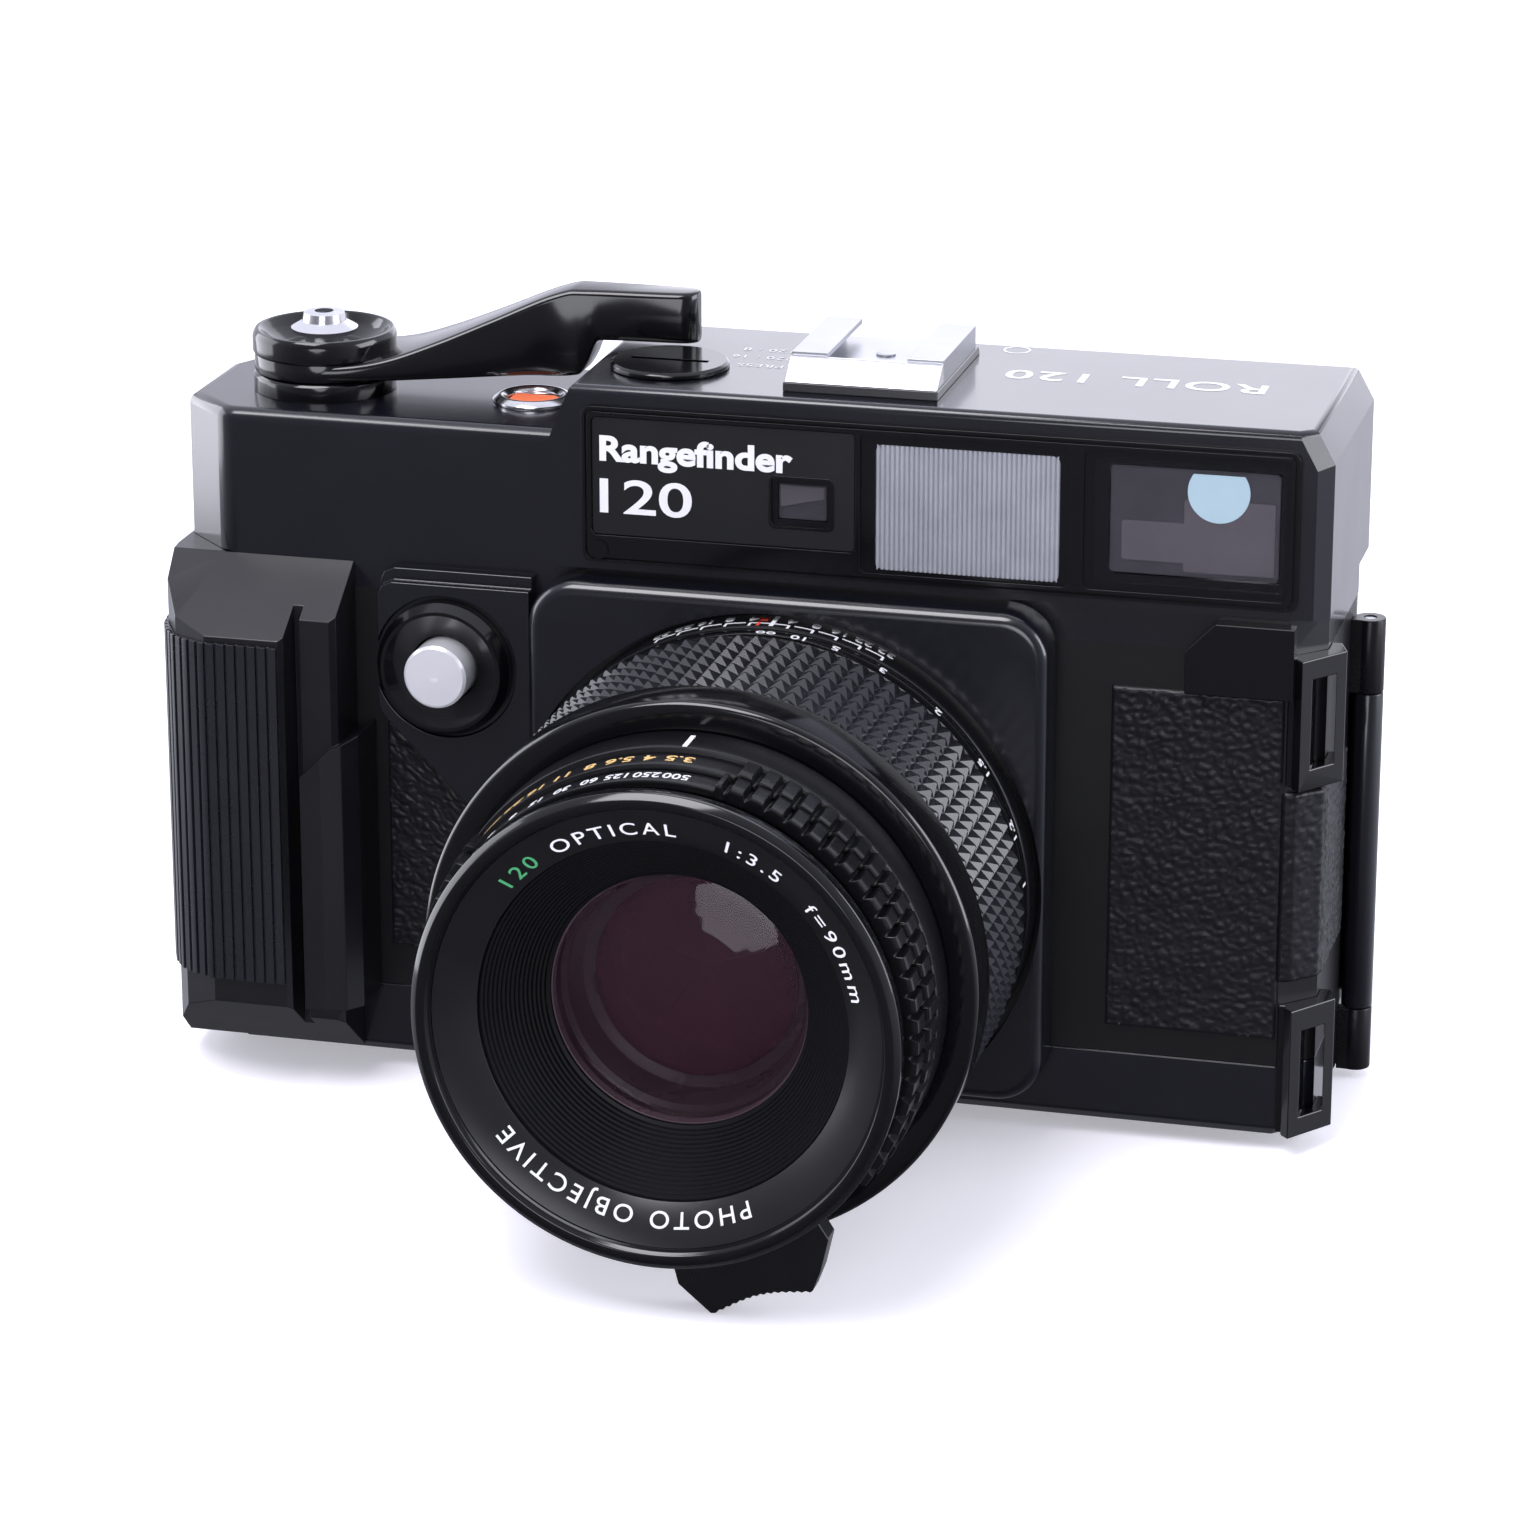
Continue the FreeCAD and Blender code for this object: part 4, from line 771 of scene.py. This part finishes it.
def skin(verts, faces, path, s0, s1, low, high, step, limit=None):
    """Adds a pebbled sheet; path gives the point and outward direction at a distance."""
    columns = max(2, round((s1 - s0) / step))
    rows = max(2, round((high - low) / step))
    start = len(verts)
    for i in range(columns + 1):
        s = s0 + (s1 - s0) * i / columns
        top = min(high, limit(s)) if limit else high
        for j in range(rows + 1):
            z = low + (top - low) * j / rows
            point, out = path(s)
            rim = i in (0, columns) or j in (0, rows)
            height = 0.0 if rim else 0.50 + 0.29 * pebble(s, z)
            verts.append((point[0] + out[0] * height, point[1] + out[1] * height, z))
    for i in range(columns):
        for j in range(rows):
            a = start + i * (rows + 1) + j
            faces.append((a, a + 1, a + rows + 2, a + rows + 1))


def leather():
    """Pebbled coverings: left of the lens, round the finder end, and on the back door."""
    verts, faces = [], []
    skin(verts, faces, lambda s: ((s, -18.0), (0, -1)), -68.3, -42.6, 20.0, 61.8, 0.30,
         limit=lambda s: max(43.4, 61.7 - (s + 68.3) * 18.3 / 17.5))
    bend = [((54.5, -18.0), (0, -1)), ((82.6, -18.0), (0, -1)), ((84.6, -17.6), (0.38, -0.92)),
            ((88.1, -14.1), (0.92, -0.38)), ((88.5, -12.1), (1, 0)), ((88.5, 9.0), (1, 0))]
    marks = [0.0]
    for (a, _), (b, _) in zip(bend, bend[1:]):
        marks.append(marks[-1] + math.dist(a, b))

    def path(s):
        for k in range(len(bend) - 1):
            if s <= marks[k + 1] or k == len(bend) - 2:
                f = (s - marks[k]) / (marks[k + 1] - marks[k])
                (a, u), (b, v) = bend[k], bend[k + 1]
                return ((a[0] + (b[0] - a[0]) * f, a[1] + (b[1] - a[1]) * f),
                        (u[0] + (v[0] - u[0]) * f, u[1] + (v[1] - u[1]) * f))

    narrows = 28.2                    # where the covering becomes lower, along its path
    skin(verts, faces, path, 0.0, narrows, 17.5, 76.0, 0.34)
    skin(verts, faces, path, narrows, marks[-1], 27.5, 60.0, 0.36)
    make("leatherette_front_skin", verts, faces, HIDE, "camera_body",
         replaces=["leatherette_front"], angle=80)
    verts, faces = [], []
    skin(verts, faces, lambda s: ((s, 23.0), (0, 1)), -95.5, 82.0, 16.1, 79.7, 0.8)
    make("leatherette_back_skin", verts, faces, HIDE, "back_door",
         replaces=["leatherette_back"], angle=80)


# ---------------------------------------------------------------- top controls
def smooth(table, x):
    """A value from a table of (place, value), eased between its entries."""
    if x <= table[0][0]:
        return table[0][1]
    for k in range(len(table) - 1):
        (xa, a), (xb, b) = table[k], table[k + 1]
        if x <= xb:
            before = table[k - 1] if k else table[k]
            after = table[k + 2] if k + 2 < len(table) else table[k + 1]
            f, gap = (x - xa) / (xb - xa), xb - xa
            slope_a = (b - before[1]) / max(1e-6, xb - before[0]) * gap
            slope_b = (after[1] - a) / max(1e-6, after[0] - xa) * gap
            return (a * (2 * f ** 3 - 3 * f ** 2 + 1) + b * (3 * f ** 2 - 2 * f ** 3)
                    + slope_a * (f ** 3 - 2 * f ** 2 + f) + slope_b * (f ** 3 - f ** 2))
    return table[-1][1]


def lever():
    """The advance lever's hub and its long smooth blade."""
    top = [(-84, 118.3), (-77, 118.4), (-71, 119.3), (-64, 121.6), (-55, 125.2), (-47, 128.6),
           (-42.6, 130.0), (-41, 130.1), (-30, 130.1), (-21.3, 130.1)]
    low = [(-84, 115.5), (-50, 115.5), (-41.2, 115.5), (-39.6, 117.6), (-38.2, 121.0),
           (-37.4, 121.5), (-21.3, 121.5)]
    fore = [(-84, -11.6), (-81, -11.4), (-74, -9.4), (-62, -4.4), (-50, 1.0), (-42, 3.7),
            (-24, 5.5), (-22, 6.3), (-21.3, 7.4)]
    back = [(-84, 11.6), (-75, 11.5), (-62, 11.2), (-45, 11.9), (-25, 11.9), (-22.2, 11.3),
            (-21.3, 10.2)]
    hub, length, cuts, corner = (-84.0, 0.0), 62.7, 150, 4
    verts = []
    for i in range(cuts + 1):
        x = hub[0] + length * i / cuts
        y0, y1, z0, z1 = (smooth(t, x) for t in (fore, back, low, top))
        reach = min(1.1, (z1 - z0) * 0.4, (y1 - y0) * 0.4)
        verts += [(x, y, z) for y, z in rounded(y0, z0, y1, z1, reach, steps=corner)]
    make("advance_lever_blade", verts, tube_faces(cuts + 1, 4 * (corner + 1)), GLOSS,
         "advance_lever", replaces=["advance_lever"], angle=40, bevel=0.3)
    lathe("advance_lever_hub", [(6.1, 115.45), (11.8, 115.45), (11.8, 118.35), (6.1, 118.35)],
          GLOSS, "advance_lever", centre=hub, replaces=["advance_lever"], reach=0.1)
    lathe("lever_cap_turned", [(3.5, 118.5), (11.95, 118.5), (12.1, 118.7), (12.1, 121.3),
                               (11.6, 122.3), (10.9, 122.3), (9.6, 120.8), (7.2, 119.1),
                               (3.5, 119.0)], GLOSS, "advance_lever", centre=hub,
          replaces=["lever_cap"], reach=0.35)


def hot_shoe():
    """Black riser, polished ramp, and the channel with its turned-in rails."""
    centre, floor = 12.1, 122.2
    left, right = centre - 12.6, centre + 12.6
    plate("hot_shoe_riser", [[(-16.6, HOUSING_TOP), (15.5, HOUSING_TOP), (14.5, floor),
                               (-16.4, floor)]],
          centre - 12.8, centre + 12.8, SATIN, "camera_body", replaces=["hot_shoe"],
          place=facing_side, bevel=0.2)
    plate("hot_shoe_ramp", [[(-16.3, floor), (-11.4, floor), (-11.4, floor + 3.4),
                             (-12.2, floor + 3.4)]], left, right, CHROME, "camera_body",
          replaces=["hot_shoe"], place=facing_side, bevel=0.25)
    side, base, rail, top = 3.3, 0.8, 3.0, 3.9    # the channel's walls, floor and rails
    lip = 6                                       # how far a rail reaches in, with its wall
    channel = [(left, floor), (right, floor), (right, floor + top), (right - lip, floor + top),
               (right - lip, floor + rail), (right - side, floor + rail),
               (right - side, floor + base), (left + side, floor + base),
               (left + side, floor + rail), (left + lip, floor + rail),
               (left + lip, floor + top), (left, floor + top)]
    plate("hot_shoe_channel", [channel], -11.3, 13.0, STEEL, "camera_body",
          replaces=["hot_shoe"])
    lathe("hot_shoe_contact", [(0, floor + 0.7), (1.6, floor + 0.7), (1.6, floor + 1.1),
                               (0, floor + 1.1)], STEEL, "camera_body", centre=(centre, 2.0),
          replaces=["hot_shoe"], steps=40, reach=0.1)


def counter():
    """The frame counter's plated ring, its orange card and the plated disc under the card."""
    spot = (-47.4, -0.8)
    lathe("counter_ring_turned", [(4.6, 112.0), (6.75, 112.0), (6.8, 112.6), (5.7, 113.35),
                                  (5.2, 113.35), (4.6, 112.5)], CHROME, "camera_body",
          centre=spot, replaces=["counter_window"], reach=0.15, steps=96)
    plate("counter_card", [rounded(-51.4, -2.6, -43.6, 2.4, 1.6)], 112.05, 112.3, ORANGE_GLOWING,
          "camera_body", replaces=["counter_window"], place=facing_up, bevel=0.05)
    lathe("counter_glass", [(0, 111.2), (4.6, 111.2), (4.6, 112.0), (0, 112.0)], CHROME,
          "camera_body", centre=spot, replaces=["counter_window"], reach=0.05, steps=96)


bezel()
windows()
panel_words()
grip_ribs()
leather()
lever()
hot_shoe()
counter()


# ---------------------------------------------------------------- studio
def studio():
    """A white floor that the tab and the heel of the camera rest on, soft light, camera."""
    tab_low, tab_high = span("speed_ring")
    inset = 1.8                       # from the base's rear face to where it meets the floor
    heel = span("bottom_cover")[1].y - inset
    toe = (tab_low.y + tab_high.y) / 2
    slope = -tab_low.z / (heel - toe)
    size = 6000
    corners = [(-size, heel - size), (size, heel - size), (size, heel + size),
               (-size, heel + size)]
    mesh = bpy.data.meshes.new("floor")
    mesh.from_pydata([Vector((x, y, (y - heel) * slope)) * MM for x, y in corners], [],
                     [(0, 1, 2, 3)])
    floor = bpy.data.objects.new("floor", mesh)
    show(floor)
    mesh.materials.append(material("white_paper", (0.88, 0.87, 0.93), 0.75, grain=1.5,
                                   depth=0.02, mottle=0.01, glow=0.40))
    floor.visible_glossy = False

    world = bpy.data.worlds.new("studio")
    bpy.context.scene.world = world
    world.use_nodes = True
    tree = world.node_tree
    back = tree.nodes["Background"]
    place = tree.nodes.new("ShaderNodeTexCoord")
    parts = tree.nodes.new("ShaderNodeSeparateXYZ")
    # brighter towards the back, and dark below the horizon
    shade = node_of(tree, "ShaderNodeMapRange", From_Min=-0.85, From_Max=0.25, To_Min=0.24,
                    To_Max=1.1)
    under = node_of(tree, "ShaderNodeMapRange", From_Min=-0.6, From_Max=-0.15, To_Min=0.15)
    both = tree.nodes.new("ShaderNodeMath")
    both.operation = "MULTIPLY"
    tree.links.new(place.outputs["Generated"], parts.inputs["Vector"])
    tree.links.new(parts.outputs["Y"], shade.inputs["Value"])
    tree.links.new(parts.outputs["Z"], under.inputs["Value"])
    tree.links.new(shade.outputs["Result"], both.inputs[0])
    tree.links.new(under.outputs["Result"], both.inputs[1])
    tree.links.new(both.outputs["Value"], back.inputs["Strength"])
    back.inputs["Color"].default_value = (0.86, 0.87, 1.0, 1)

    # name, place, aim, width, watts, colour
    lamps = (("top_front_box", (-0.3, -0.62, 1.35), (0, 0, 0.05), 0.8, 17, (0.97, 0.96, 1)),
             ("back_box", (0.05, 1.3, 0.45), (0, 0, 0.1), 0.9, 2.5, (0.93, 0.92, 1)),
             ("finder_side_box", (1.3, 0.05, 0.45), (0.02, 0, 0.06), 0.9, 14, (0.93, 0.94, 1)),
             ("grip_side_window", (-1.1, 0.12, 0.26), (-0.05, 0, 0.06), 1.0, 10, (0.92, 0.93, 1)),
             ("lens_catch_light", (0.07, -1.3, 0.20), (0, 0, 0.06), 0.6, 3.4, (0.93, 0.94, 1)))
    for name, at, aim, width, power, colour in lamps:
        light = bpy.data.lights.new(name, "AREA")
        light.shape = "DISK" if name == "lens_catch_light" else "SQUARE"
        light.size, light.energy, light.color = width, power, colour
        lamp = bpy.data.objects.new(name, light)
        lamp.location = at
        lamp.rotation_euler = (Vector(aim) - Vector(at)).to_track_quat("-Z", "Y").to_euler()
        show(lamp)

    azimuth, height, distance = math.radians(14.49), math.radians(18.12), 0.884
    aim = Vector((-0.0035, -0.0214, 0.0679))
    back_to = Vector((math.sin(azimuth) * math.cos(height),
                      -math.cos(azimuth) * math.cos(height), math.sin(height)))
    lens = bpy.data.cameras.new("camera")
    lens.sensor_width, lens.lens = 36, 126.8
    lens.shift_x, lens.shift_y = 0.0065, -0.0373
    camera = bpy.data.objects.new("camera", lens)
    camera.location = aim + back_to * distance
    camera.rotation_euler = (-back_to).to_track_quat("-Z", "Y").to_euler()
    show(camera)
    bpy.context.scene.camera = camera
    bpy.context.scene.view_settings.view_transform = "Standard"


studio()

# how far the edges of the CAD nodes are rounded
EDGES = {"top_cover": 0.5, "bottom_cover": 0.4, "lens_standard": 0.8, "release_plate": 0.4,
         "grip": 0.8, "back_door": 0.4, "strap_lugs": 0.35, "hinge_knuckles": 0.2,
         "film_selector_dial": 0.2, "door_latch": 0.3, "lever_collar": 0.1}
for name, width in EDGES.items():
    weld = NODES[name].modifiers.new("weld", "WELD")
    weld.merge_threshold = CAD_WELD
    round_edges(NODES[name], width)
